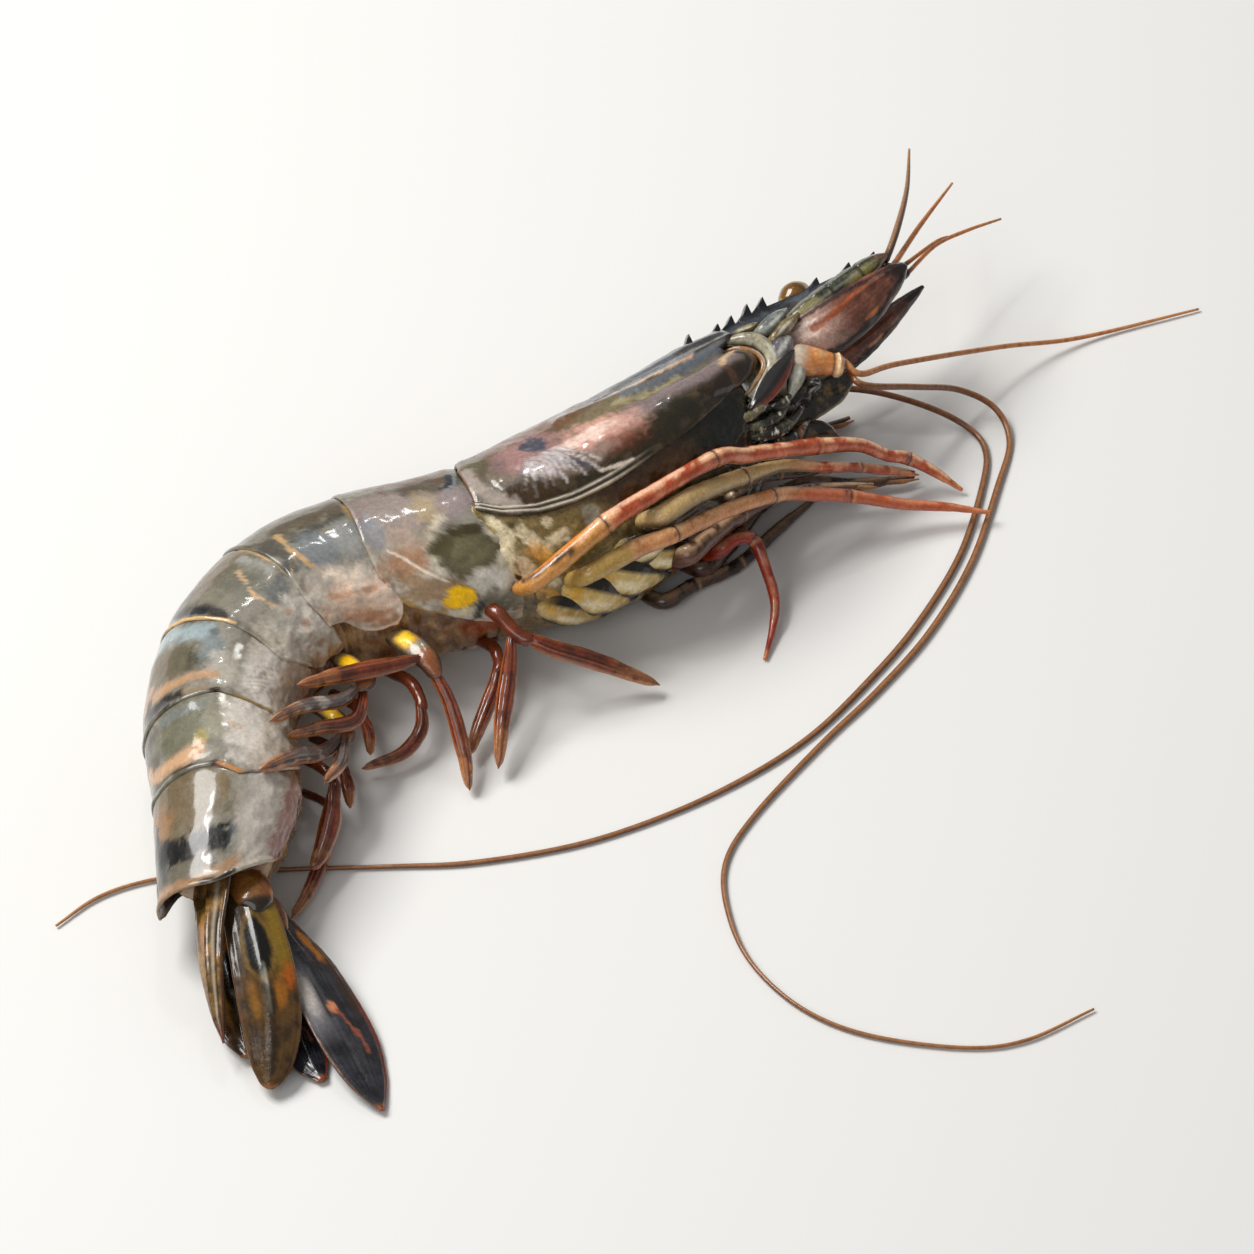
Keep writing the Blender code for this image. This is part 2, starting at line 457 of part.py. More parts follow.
GROUND = 0.5
LONG_FEELERS = {
    "ahead": ((5.6, -5.0, 8.5, 0.5), (45.5, 36.5, 19.0, 0.5), (54.0, 37.5, 15.0, 0.45), (74.5, 37.0, 6.0, 0.4),
              (89.0, 34.0, 1.2, 0.35), (107.8, 27.5, GROUND, 0.2)),
    "round": ((5.6, -6.7, 7.4, 0.5), (45.0, 35.0, 18.0, 0.55), (54.5, 34.5, 12.0, 0.5), (63.5, 34.0, 6.0, 0.5),
              (67.6, 30.0, 2.4, 0.5), (65.8, 24.5, GROUND, 0.5), (58.0, 18.4, GROUND, 0.5), (44.5, 9.0, GROUND, 0.5),
              (30.0, 2.0, GROUND, 0.5), (16.0, -2.2, GROUND, 0.5), (2.0, -5.2, GROUND, 0.45),
              (-15.0, -9.8, GROUND, 0.4), (-24.5, -14.5, GROUND, 0.4), (-30.5, -22.5, GROUND, 0.4),
              (-34.0, -32.0, GROUND, 0.35), (-34.0, -43.0, GROUND, 0.35), (-30.0, -53.0, GROUND, 0.35),
              (-21.0, -63.6, GROUND, 0.3), (-13.0, -68.4, GROUND, 0.3), (-1.5, -70.2, GROUND, 0.2)),
    "back": ((7.0, -6.3, -7.6, 0.6), (53.0, 41.6, 6.4, 0.5), (59.0, 36.0, 3.6, 0.5), (62.4, 30.8, 1.2, 0.5),
             (62.0, 26.0, GROUND, 0.5), (57.0, 20.6, GROUND, 0.5), (44.0, 11.2, GROUND, 0.5), (29.0, 4.2, GROUND, 0.5),
             (15.5, 0.0, GROUND, 0.5), (2.5, -2.8, GROUND, 0.45), (-10.0, -3.2, GROUND, 0.45),
             (-24.0, -1.5, GROUND, 0.4), (-38.5, 2.5, GROUND, 0.4), (-52.5, 9.5, GROUND, 0.4),
             (-62.0, 16.4, GROUND, 0.35), (-74.0, 25.6, GROUND, 0.35), (-84.0, 33.0, GROUND, 0.35),
             (-92.0, 37.5, GROUND, 0.3), (-99.5, 39.5, GROUND, 0.3), (-107.5, 39.0, GROUND, 0.2)),
}
for name, (root, *route) in LONG_FEELERS.items():
    tube(f"feeler_long_{name}", head_route(root) + route, FEELER, 1)
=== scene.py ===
import math

import bmesh
import bpy
import numpy as np
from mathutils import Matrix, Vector, noise


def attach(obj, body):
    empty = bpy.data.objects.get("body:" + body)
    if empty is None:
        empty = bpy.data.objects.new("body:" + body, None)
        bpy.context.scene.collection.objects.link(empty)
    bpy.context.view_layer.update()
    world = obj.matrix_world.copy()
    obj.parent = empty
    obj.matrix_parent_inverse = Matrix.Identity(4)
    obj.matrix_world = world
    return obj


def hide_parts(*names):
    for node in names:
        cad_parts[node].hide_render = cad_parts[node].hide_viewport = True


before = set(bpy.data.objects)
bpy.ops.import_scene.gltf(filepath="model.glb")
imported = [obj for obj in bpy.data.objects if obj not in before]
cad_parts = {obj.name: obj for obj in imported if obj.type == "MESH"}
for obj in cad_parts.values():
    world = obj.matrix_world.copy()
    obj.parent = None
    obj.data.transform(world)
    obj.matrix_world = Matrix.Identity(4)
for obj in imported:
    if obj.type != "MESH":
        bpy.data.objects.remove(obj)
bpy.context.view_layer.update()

# Gill flank and underside: soft olive shell below the head shield, mottled with cream and orange
# towards the legs' roots. It is one skin with the body, and the shield's rim lies over its top edge.
MM = 0.001
GIRTH = 13.0         # radius that turns an angle round the body into a length
DEEPER = 1.1         # water in the shell deepens every dye by this much
# Stations from the head to the tail: centre x, y, z, height to the back and to the belly, half
# width, and how far the back is tipped up, in degrees.
STATIONS = [
    (39.5, 48.5, 16.0, 8.5, 9.5, 8.5, 36),
    (27.0, 49.0, 15.0, 10.0, 11.5, 11.0, 35),
    (11.0, 47.5, 14.2, 12.0, 16.5, 12.5, 33),
    (-4.5, 47.5, 13.1, 13.5, 17.5, 12.5, 30),
    (-18.0, 49.5, 12.5, 13.5, 14.5, 12.5, 26),
    (-27.0, 52.5, 12.3, 13.5, 14.5, 12.5, 22),
    (-35.5, 56.0, 12.2, 13.5, 14.0, 12.5, 18),
    (-46.5, 58.5, 11.8, 13.0, 13.0, 12.2, 13),
    (-59.0, 55.5, 11.3, 12.5, 12.0, 11.8, 9),
    (-70.0, 47.5, 10.7, 11.5, 11.5, 11.2, 6),
    (-77.6, 35.1, 11.0, 11.8, 11.0, 10.2, 4),
    (-89.1, 22.1, 9.2, 10.0, 8.0, 8.2, 2),
]


def blend(values, place):
    """Catmull-Rom value of a list of tuples at a place counted in list steps."""
    last = len(values) - 1
    start = max(0, min(int(math.floor(place)), last - 1))
    t = place - start
    p1, p2 = values[start], values[start + 1]
    p0 = values[start - 1] if start > 0 else [2 * a - b for a, b in zip(p1, p2)]
    p3 = values[start + 2] if start + 2 <= last else [2 * b - a for a, b in zip(p1, p2)]
    return [0.5 * (2 * b + (c - a) * t + (2 * a - 5 * b + 4 * c - d) * t ** 2
                   + (3 * b - a - 3 * c + d) * t ** 3) for a, b, c, d in zip(p0, p1, p2, p3)]


FRAMES = {}


def body_frame(station):
    """Centre, direction to the tail, to the back and to the right side, and the three sizes."""
    key = round(station, 3)
    if key not in FRAMES:
        x, y, z, back, belly, side, tip = blend(STATIONS, key)
        ahead, behind = blend(STATIONS, key - 0.01), blend(STATIONS, key + 0.01)
        tailward = (Vector(behind[:3]) - Vector(ahead[:3])).normalized()
        level = tailward.cross(Vector((0, 0, 1))).normalized()
        upright = level.cross(tailward).normalized()
        angle = math.radians(tip)
        to_back = level * math.cos(angle) + upright * math.sin(angle)
        to_right = upright * math.cos(angle) - level * math.sin(angle)
        FRAMES[key] = (Vector((x, y, z)), tailward, to_back, to_right, back, belly, side)
    return FRAMES[key]


def body_point(station, angle, grow=0.0):
    """Point on the shell: 0 degrees is the back, 90 the right side and 180 the belly."""
    centre, _, to_back, to_right, back, belly, side = body_frame(station)
    c, s = math.cos(math.radians(angle)), math.sin(math.radians(angle))
    height = back if c > 0 else belly
    return centre + to_back * c * (height + grow) + to_right * s * (side + grow)


ARC_PLACES = [i / 20 for i in range(-10, 241)]
ARC_LENGTHS = [0.0]
for before, after in zip(ARC_PLACES, ARC_PLACES[1:]):
    step = Vector(blend(STATIONS, after)[:3]) - Vector(blend(STATIONS, before)[:3])
    ARC_LENGTHS.append(ARC_LENGTHS[-1] + step.length)


def on_body(station, angle):
    """Millimetres along the body and round it."""
    return np.interp(station, ARC_PLACES, ARC_LENGTHS), np.radians(np.abs(angle)) * GIRTH


def sweep(*shells):
    """Closed skins through rows of (point, first value, second value), each row extruded to the next."""
    bm = bmesh.new()
    place = bm.verts.layers.int.new("place")
    first = bm.verts.layers.float.new("first")
    second = bm.verts.layers.float.new("second")

    def settle(verts, row):
        for vert in verts:
            point, vert[first], vert[second] = row[vert[place]]
            vert.co = Vector((point.x, point.y, max(point.z, 0))) * MM

    for rows in shells:
        verts = [bm.verts.new() for _ in rows[0]]
        for number, vert in enumerate(verts):
            vert[place] = number
        settle(verts, rows[0])
        edges = [bm.edges.new((verts[i - 1], verts[i])) for i in range(len(verts))]
        bm.faces.new(verts)
        for row in rows[1:]:
            made = bmesh.ops.extrude_edge_only(bm, edges=edges)["geom"]
            verts = [item for item in made if isinstance(item, bmesh.types.BMVert)]
            fresh = set(verts)
            edges = [item for item in made if isinstance(item, bmesh.types.BMEdge) and fresh.issuperset(item.verts)]
            settle(verts, row)
        bm.faces.new(sorted(verts, key=lambda vert: vert[place]))
    bmesh.ops.recalc_face_normals(bm, faces=bm.faces)
    return bm


def add_piece(name, bm, surface, slot, *replaced):
    mesh = bpy.data.meshes.new(name)
    bm.to_mesh(mesh)
    bm.free()
    mesh.shade_smooth()
    mesh.materials.append(surface)
    made = bpy.data.objects.new(name, mesh)
    bpy.context.scene.collection.objects.link(made)
    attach(made, "root")
    if replaced:
        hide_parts(*replaced)
    return made


def linear(colour):
    """Linear light of a colour given in steps of 0 to 255 as a screen shows it."""
    return np.array([(c / 255 / 12.92) if c <= 10 else ((c / 255 + 0.055) / 1.055) ** 2.4 for c in colour])


def smooth(low, high, value):
    share = np.clip((value - low) / (high - low), 0, 1)
    return share * share * (3 - 2 * share)


class Skin:
    """A piece's points laid out flat in millimetres, with the colours, painted highlights and shade among them, and the
    relief put on them.
    """

    def __init__(self, made, layout=on_body, base=(120, 110, 95)):
        mesh = made.data
        count = len(mesh.vertices)
        self.mesh, self.layout = mesh, layout
        self.points = self.read(mesh.vertices, "co", 3) / MM
        self.first = self.read(mesh.attributes["first"].data, "value", 1)
        self.second = self.read(mesh.attributes["second"].data, "value", 1)
        self.along, self.across = layout(self.first, self.second)
        self.colour = np.tile(linear(base), (count, 1))
        self.height = np.zeros(count)
        self.broad, self.middle, self.fine = (
            np.array([noise.fractal(Vector(p) / size, 0.8, 2.0, 3) for p in self.points]) for size in (7.0, 2.4, 0.8))

    @staticmethod
    def read(items, key, width):
        values = np.empty(len(items) * width)
        items.foreach_get(key, values)
        return values.reshape(-1, width) if width > 1 else values

    def spot(self, first, second, length, width, turn=0.0, ragged=0.45, soft=0.35):
        """1 inside an uneven oval of those half sizes, fading to 0 round it."""
        at, up = self.layout(first, second)
        c, s = math.cos(math.radians(turn)), math.sin(math.radians(turn))
        a = ((self.along - at) * c + (self.across - up) * s) / length
        b = ((self.across - up) * c - (self.along - at) * s) / width
        reach = np.hypot(a, b) + ragged * (self.middle + 0.5 * self.fine)
        return 1 - smooth(1 - soft, 1 + soft, reach)

    def line(self, route, width, ragged=0.4, soft=0.5):
        """1 on a line of that width along a route of places, fading to 0 beside it."""
        places = [self.layout(*place) for place in route]
        nearest = np.full(len(self.along), 1e9)
        for (a0, b0), (a1, b1) in zip(places, places[1:]):
            da, db = a1 - a0, b1 - b0
            share = np.clip(((self.along - a0) * da + (self.across - b0) * db) / (da * da + db * db), 0, 1)
            nearest = np.minimum(nearest, np.hypot(self.along - a0 - share * da, self.across - b0 - share * db))
        reach = nearest / (width / 2) + ragged * (self.middle + self.fine)
        return 1 - smooth(1 - soft, 1 + soft, reach)

    def tint_and_light(self, mask, colour, strength=1.0):
        share = np.clip(mask * strength, 0, 1)[:, None]
        self.colour = self.colour * (1 - share) + linear(colour) * share

    def mottle(self, light, dark, strength=0.5):
        self.tint_and_light(smooth(0.05, 0.45, self.middle + 0.4 * self.fine), light, strength)
        self.tint_and_light(smooth(0.05, 0.45, -self.middle - 0.4 * self.broad), dark, strength)

    def lift(self, mask, height):
        self.height += mask * height

    def finish(self):
        count = len(self.points)
        normals = self.read(self.mesh.vertex_normals, "vector", 3)
        moved = self.points + normals * self.height[:, None]
        moved[:, 2] = np.maximum(moved[:, 2], 0)
        self.mesh.vertices.foreach_set("co", (moved * MM).ravel())
        grey = self.colour.mean(axis=1, keepdims=True)
        self.colour = np.clip(grey + (self.colour - grey) * DEEPER, 0.001, 1)
        tint_and_light = self.mesh.attributes.new("colour", "FLOAT_COLOR", "POINT")
        tint_and_light.data.foreach_set("color", np.hstack([self.colour, np.ones((count, 1))]).ravel())
        self.mesh.update()


def wet(name, roughness=0.28, coat=0.6, through=0.08, speckle=0.3, grain=0.6, relief=0.12):
    """Wet shell: its own painted colours, highlights and shade among them, broken up by speckles, fine relief, and a
    film of water on top.
    """
    made = bpy.data.materials.new(name)
    made.use_nodes = True
    nodes, links = made.node_tree.nodes, made.node_tree.links
    surface = nodes["Principled BSDF"]
    tint_and_light = nodes.new("ShaderNodeAttribute")
    tint_and_light.attribute_name = "colour"
    places = nodes.new("ShaderNodeTexCoord")

    def cloud(size, detail):
        field = nodes.new("ShaderNodeTexNoise")
        field.inputs["Scale"].default_value = 1 / (size * MM)
        field.inputs["Detail"].default_value = detail
        field.inputs["Roughness"].default_value = 0.65
        links.new(places.outputs["Object"], field.inputs["Vector"])
        return field.outputs["Fac"]

    def spread(value, low, high):
        step = nodes.new("ShaderNodeMapRange")
        step.inputs["From Min"].default_value = 0.32
        step.inputs["From Max"].default_value = 0.68
        step.inputs["To Min"].default_value = low
        step.inputs["To Max"].default_value = high
        links.new(value, step.inputs["Value"])
        return step.outputs["Result"]

    fine, coarse = cloud(grain, 6), cloud(grain * 5, 4)
    broken = nodes.new("ShaderNodeVectorMath")
    broken.operation = "SCALE"
    links.new(tint_and_light.outputs["Color"], broken.inputs[0])
    links.new(spread(fine, 1 - speckle, 1 + speckle), broken.inputs["Scale"])
    shaded = nodes.new("ShaderNodeVectorMath")
    shaded.operation = "SCALE"
    links.new(broken.outputs[0], shaded.inputs[0])
    links.new(spread(coarse, 1 - speckle * 0.6, 1 + speckle * 0.6), shaded.inputs["Scale"])
    links.new(shaded.outputs[0], surface.inputs["Base Color"])
    links.new(spread(coarse, roughness * 0.6, roughness * 1.5), surface.inputs["Roughness"])
    bump = nodes.new("ShaderNodeBump")
    bump.inputs["Strength"].default_value = 1.0
    bump.inputs["Distance"].default_value = relief * MM
    links.new(fine, bump.inputs["Height"])
    links.new(bump.outputs["Normal"], surface.inputs["Normal"])
    surface.inputs["Specular IOR Level"].default_value = 0.22
    surface.inputs["Coat Weight"].default_value = coat
    surface.inputs["Coat Roughness"].default_value = 0.1
    surface.inputs["Subsurface Weight"].default_value = through
    surface.inputs["Subsurface Radius"].default_value = (1.0, 0.5, 0.25)
    surface.inputs["Subsurface Scale"].default_value = 2 * MM
    return made


RIM = [(0.5, 84), (0.9, 90), (1.42, 93), (2.64, 95), (3.14, 95), (3.52, 93), (3.9, 86.5), (4.18, 78), (4.5, 70)]


def rim_angle(station):
    """Where the shield's lower edge runs."""
    return np.interp(station, *zip(*RIM))


def flank():
    rows = []
    count, columns = 130, 150
    for i in range(count + 1):
        station = 0.95 + 3.3 * i / count
        top = float(rim_angle(station)) - 5
        row = []
        for j in range(columns + 1):
            angle = top + (360 - 2 * top) * j / columns
            sunk = 0.35 + 0.8 * math.exp(-(station - 0.95) / 0.12)
            row.append((body_point(station, angle, -sunk), station, angle if angle < 180 else 360 - angle))
        rows.append(row)
    return sweep(rows)


def dye_flank(skin):
    skin.mottle((150, 132, 92), (70, 58, 34), 0.7)
    skin.tint_and_light(1 - smooth(2.2, 3.0, skin.first + 0.25 * skin.middle), (48, 38, 22), 0.9)
    skin.tint_and_light(skin.line([(1.0, 90), (1.6, 97), (2.6, 99), (3.2, 99)], 3.4, 0.6), (62, 46, 28), 0.85)
    skin.tint_and_light(skin.spot(1.5, 108, 9, 4.5), (20, 22, 15))
    skin.tint_and_light(skin.spot(2.4, 102, 9, 2.2), (66, 46, 28))
    skin.tint_and_light(skin.spot(3.3, 105, 6, 3), (122, 104, 66), 0.8)
    skin.tint_and_light(skin.spot(3.05, 104, 1.4, 1.2), (150, 144, 130), 0.8)
    skin.tint_and_light(smooth(150, 175, skin.second), (120, 88, 50), 0.7)
    for station, angle, length, width, turn in (
            (3.5, 99, 0.6, 0.6, 0), (3.48, 111, 2.0, 0.8, 30), (3.74, 106, 1.0, 2.2, 10), (3.9, 118, 2.2, 0.9, -50),
            (4.06, 112, 0.9, 4.2, 8), (4.02, 98, 1.0, 2.4, 15), (3.92, 131, 2.4, 1.2, 60), (4.14, 134, 1.2, 3.0, 0),
            (3.66, 136, 1.6, 0.7, 20), (3.55, 122, 1.2, 0.5, -20)):
        skin.tint_and_light(skin.spot(station, angle, length, width, turn, 0.8), (222, 208, 176), 0.85)
    for station, angle, length, width in ((3.72, 115, 2.2, 0.9), (3.62, 124, 1.8, 1.2), (3.8, 142, 1.8, 1.6)):
        skin.tint_and_light(skin.spot(station, angle, length, width, -20, 0.9), (208, 156, 78), 0.7)
    skin.tint_and_light(skin.spot(3.98, 150, 2.6, 2.0), (84, 70, 44), 0.8)
    skin.tint_and_light(skin.line([(4.02, 126), (3.86, 140), (3.9, 150)], 0.5, 1.0), (60, 46, 28))
    skin.lift(skin.middle, 0.22)
    skin.lift(skin.fine, 0.07)


GILL_SHELL = wet("gill_shell", 0.25, 0.7, 0.12)
thorax = add_piece("gill_flank", flank(), GILL_SHELL, "thorax", "thorax")
skin = Skin(thorax, base=(112, 96, 62))
dye_flank(skin)
skin.finish()


# Leg lobes: the overlapping scales at the right legs' roots, yellow beige with black edges.
# Each is a stiff curved plate that grows from the thorax and lies over the next one forward.
def spine_line(route, spacing=0.4):
    """Places close together along a smooth curve through a route, each with the length so far."""
    total = sum((Vector(b[:3]) - Vector(a[:3])).length for a, b in zip(route, route[1:]))
    count = max(8, int(total / spacing))
    places = [blend(route, (len(route) - 1) * i / count) for i in range(count + 1)]
    lengths = [0.0]
    for before, after in zip(places, places[1:]):
        lengths.append(lengths[-1] + (Vector(after[:3]) - Vector(before[:3])).length)
    return places, lengths


def leaf_rows(route, face, thickness, cup=0.0, ribs=0.0, sides=28, spacing=0.4):
    """Rows of a blade along (x, y, z, half width); `cup` bends its edges down, `ribs` raises lines."""
    places, lengths = spine_line(route, spacing)
    rows = []
    for k, (x, y, z, half) in enumerate(places):
        before, after = places[max(k - 1, 0)], places[min(k + 1, len(places) - 1)]
        along = (Vector(after[:3]) - Vector(before[:3])).normalized()
        across = Vector(face).cross(along).normalized()
        outward = along.cross(across).normalized()
        if outward.dot(Vector(face)) < 0:
            outward.negate()
        half = max(half, 0.12)
        thick = min(thickness / 2, half)
        row = []
        for i in range(sides):
            angle = math.tau * i / sides
            share = math.cos(angle)
            ridge = ribs * math.cos(share * math.pi * 3) if math.sin(angle) > 0 else 0
            rise = thick * math.sin(angle) * (1 + ridge) - cup * half * share ** 2
            row.append((Vector((x, y, z)) + across * half * share + outward * rise, lengths[k], share))
        rows.append(row)
    return rows


def on_limb(first, second):
    """Millimetres along a limb, and ten times its share of the half width."""
    return first, np.asarray(second) * 10


# root and tip as station and angle, half width, colour
LOBES = [
    ((3.1, 128), (2.4, 139), 2.2, (186, 166, 108)),
    ((3.0, 130), (2.12, 162), 2.4, (206, 182, 122)),
    ((3.42, 130), (2.5, 167), 2.9, (212, 186, 122)),
    ((3.72, 137), (2.86, 172), 3.0, (206, 176, 106)),
    ((4.0, 148), (3.12, 178), 2.5, (176, 146, 82)),
    ((2.6, 150), (1.95, 172), 1.8, (64, 58, 44)),
]
LOBE_SHELL = wet("lobe_shell", 0.25, 0.7, 0.15, 0.2)
for number, (root, tip, half, colour) in enumerate(LOBES, start=1):
    middle = [(a + b) / 2 for a, b in zip(root, tip)]
    route = [(*body_point(*root, -1.8), half * 0.5), (*body_point(*middle, 0.8 - 0.1 * number), half * 1.25),
             (*body_point(*tip, -0.4), 0.2)]
    outward = body_point(*middle, 2) - body_point(*middle, 0)
    lobe = add_piece(f"leg_lobe_{number}", sweep(leaf_rows(route, outward, 1.6, 0.25, 0, 28, 0.3)), LOBE_SHELL, "thorax")
    skin = Skin(lobe, on_limb, colour)
    skin.mottle((226, 206, 158), (150, 112, 56), 0.55)
    edge = smooth(0.46, 0.6, np.abs(skin.second) + 0.12 * skin.middle)
    reach = skin.first / skin.first.max()
    skin.tint_and_light(edge * smooth(0.1, 0.35, reach), (26, 21, 15))
    skin.tint_and_light(smooth(0.78, 0.88, reach + 0.08 * skin.middle), (26, 22, 16))
    skin.tint_and_light(skin.spot(skin.first.max() * 0.5, -0.1, 3, 1.8, 0, 0.5), (244, 230, 196), 0.8)
    skin.tint_and_light(skin.spot(skin.first.max() * 0.3, 0.1, 1.4, 3), (222, 168, 58), 0.6 if number in (3, 4, 5) else 0.2)
    skin.lift(skin.middle, 0.08)
    skin.finish()


# Head shield: one hard plate bent over the head, near black along the back, olive and brown down
# the side with a pink and mauve sheen. A rolled double rim stiffens its lower edge.
def plate(front, rear, low, rows, columns, thickness, grow=lambda share, angle: 0.0, start=-1.0, recede=0.0):
    """Bent plate round the body from margin to margin, closed by a plain inner face."""
    def station_of(share, angle):
        ahead, behind = front(abs(angle)), rear(abs(angle)) - recede * float(smooth(10, 70, np.float64(-angle)))
        return ahead + (behind - ahead) * share

    made = []
    inner_columns = 24
    for i in range(rows + 1):
        even = i / rows
        share = 0.3 * even + 0.7 * smooth(0, 1, even)
        edge = min(share, 1 - share)
        sunk = 0.2 * math.exp(-(edge / 0.012) ** 2)
        widest = low(share)
        row = []
        for j in range(columns + 1):
            u = start + (1 - start) * j / columns
            angle = widest * (0.35 * u + 0.65 * (3 * u - u ** 3) / 2)
            station = station_of(share, angle)
            row.append((body_point(station, angle, grow(share, abs(angle)) - sunk), station, angle))
        for j in range(inner_columns + 1):
            angle = widest * (1 - (1 - start) * j / inner_columns)
            station = station_of(share, angle)
            row.append((body_point(station, angle, grow(share, abs(angle)) - thickness), station, angle))
        made.append(row)
    return sweep(made)


def through(points):
    """Function that follows a few (where, value) pairs."""
    places, values = zip(*points)
    return lambda where: float(np.interp(where, places, values))


shield_front = through([(0, 0.5), (40, 0.55), (47, 0.84), (54, 0.84), (60, 0.68), (67, 0.55), (76, 0.55), (84, 0.68), (90, 0.95), (95, 1.3)])
shield_rear = through([(0, 3.86), (25, 3.98), (40, 4.1), (60, 4.13), (74, 4.16), (80, 4.2), (95, 4.2)])


def shield_low(share):
    return float(rim_angle(0.62 + (4.16 - 0.62) * share))


def shield_grow(share, angle):
    """The front of the side dome is rolled in."""
    return -1.1 * math.exp(-(share / 0.028) ** 2) * float(smooth(50, 60, np.float64(angle)))


def tint_and_light_shield(skin):
    station, angle = skin.first, np.abs(skin.second)
    top = 1 - smooth(30, 48, angle + 8 * skin.broad)
    skin.tint_and_light(smooth(35, 60, angle), (108, 98, 84))
    skin.tint_and_light(smooth(66, 78, angle + 5 * skin.broad), (46, 38, 22))
    skin.tint_and_light(top, (92, 66, 46))
    skin.tint_and_light(top * (1 - smooth(1.9, 2.7, station + 0.3 * skin.broad)), (36, 39, 43))
    skin.mottle((128, 108, 84), (30, 26, 20), 0.22)
    skin.tint_and_light(skin.spot(2.2, 46, 9, 2.6), (122, 110, 84), 0.8)
    skin.tint_and_light(skin.spot(2.9, 26, 9, 3), (104, 70, 44), 0.8)
    skin.tint_and_light(skin.line([(0.6, 39), (1.25, 38)], 1.8), (16, 18, 20))
    skin.tint_and_light(skin.line([(0.75, 47), (1.3, 49), (1.7, 47), (2.0, 42)], 1.8), (98, 106, 114), 0.85)
    # pale pinkish-tan line along the raised ridge: painted highlight
    skin.tint_and_light(skin.line([(1.2, 43), (1.6, 40), (1.9, 33), (2.5, 26)], 1.0, 0.8), (198, 164, 140), 0.9)
    skin.tint_and_light(skin.line([(1.3, 22), (1.7, 12), (2.1, 8)], 4.5, 0.8), (92, 97, 104), 0.7)
    # light grey line near the crest: painted highlight
    skin.tint_and_light(skin.line([(2.0, 18), (2.4, 14), (2.6, 24)], 2.6, 0.9), (150, 148, 150), 0.7)
    skin.tint_and_light(skin.line([(1.5, 52), (1.7, 54), (2.1, 46)], 1.4, 1.0), (168, 158, 122), 0.6)
    # the long dome along the side, whose mauve upper band is painted sheen, and its dark brown front lobe, with painted
    # shade in the groove behind its tan rim and a painted cream highlight along its top edge
    skin.tint_and_light(skin.line([(0.85, 66), (1.3, 68), (1.7, 63), (2.2, 61)], 3.2), (126, 112, 112), 0.95)
    skin.tint_and_light(skin.spot(1.05, 83, 6.6, 2.4, 0, 0.3), (44, 32, 26))
    skin.tint_and_light(skin.spot(1.07, 81, 0.7, 2.2), (86, 62, 46), 0.8)
    skin.tint_and_light(skin.line([(0.72, 60), (0.6, 67), (0.6, 77), (0.73, 85), (1.0, 91)], 0.9), (158, 120, 88), 0.9)
    # near-black line in the groove behind the lobe's rim: painted shade
    skin.tint_and_light(skin.line([(0.84, 62), (0.72, 69), (0.73, 77), (0.86, 85)], 0.7), (24, 18, 14), 0.8)
    # cream line along the lobe's top edge: painted highlight
    skin.tint_and_light(skin.line([(0.8, 61), (0.95, 64), (1.08, 68)], 1.2, 0.7), (206, 176, 140), 0.8)
    skin.tint_and_light(skin.spot(1.8, 80, 5.0, 2.6), (40, 36, 24), 0.9)
    # pink and mauve patches here are painted sheen, the near-white streak and the pale spot below the frost are painted
    # highlight, then the blue blotch, and frost-like strokes that are painted highlight streaks with darker painted
    # shade beside them
    skin.tint_and_light(skin.spot(3.22, 50, 6.2, 4.6, 0, 0.35), (158, 122, 118), 0.95)
    skin.tint_and_light(skin.spot(2.52, 63, 6.6, 3.2, -4, 0.4), (206, 160, 146), 0.95)
    skin.tint_and_light(skin.spot(2.42, 76, 3.6, 1.5, 0, 0.7, 0.6), (112, 60, 40), 0.7)
    # near-white streak: painted highlight
    skin.tint_and_light(skin.spot(2.65, 60, 5.2, 1.3, 0, 0.6), (238, 212, 200), 0.85)
    skin.tint_and_light(skin.spot(2.9, 76, 6.0, 1.4), (140, 124, 114), 0.7)
    skin.tint_and_light(skin.spot(3.62, 52, 1.2, 2.8, -20), (112, 92, 92), 0.6)
    skin.tint_and_light(skin.spot(3.1, 48, 2.3, 2.2, 0, 0.9), (58, 64, 76), 0.95)
    skin.tint_and_light(skin.line([(3.06, 30), (3.12, 40)], 1.0, 0.8), (86, 84, 92), 0.8)
    skin.tint_and_light(skin.line([(3.0, 62), (2.92, 72), (2.84, 80)], 0.9, 1.0), (66, 68, 80), 0.8)
    # pale spot under the frost: painted highlight
    skin.tint_and_light(skin.spot(3.2, 66, 3.2, 2.6, 0, 0.7), (186, 172, 170), 0.6)
    # frost-like strokes: each pale stroke is a painted highlight streak, and the darker stroke beside it is painted
    # shade
    strokes = 13
    for k in range(strokes):
        lean = k / (strokes - 1) - 0.5
        start, end = 3.12 + 0.42 * lean, 3.12 + 0.85 * lean
        reach = 80 + 5 * math.sin(k * 2.4)
        skin.tint_and_light(skin.line([(start, 57), ((start + end) / 2, 68), (end, reach)], 0.42, 1.2), (228, 222, 220), 0.5)
        skin.tint_and_light(skin.line([(start + 0.035, 58), (end + 0.03, reach - 6)], 0.3, 1.2), (96, 96, 104), 0.5)
    # light line low on the side: painted highlight streak
    skin.tint_and_light(skin.line([(2.42, 90), (2.6, 88.5), (2.76, 86)], 0.5, 0.5), (226, 214, 200), 0.9)
    skin.tint_and_light(skin.spot(3.55, 82, 5, 2.0), (58, 40, 20), 0.8)
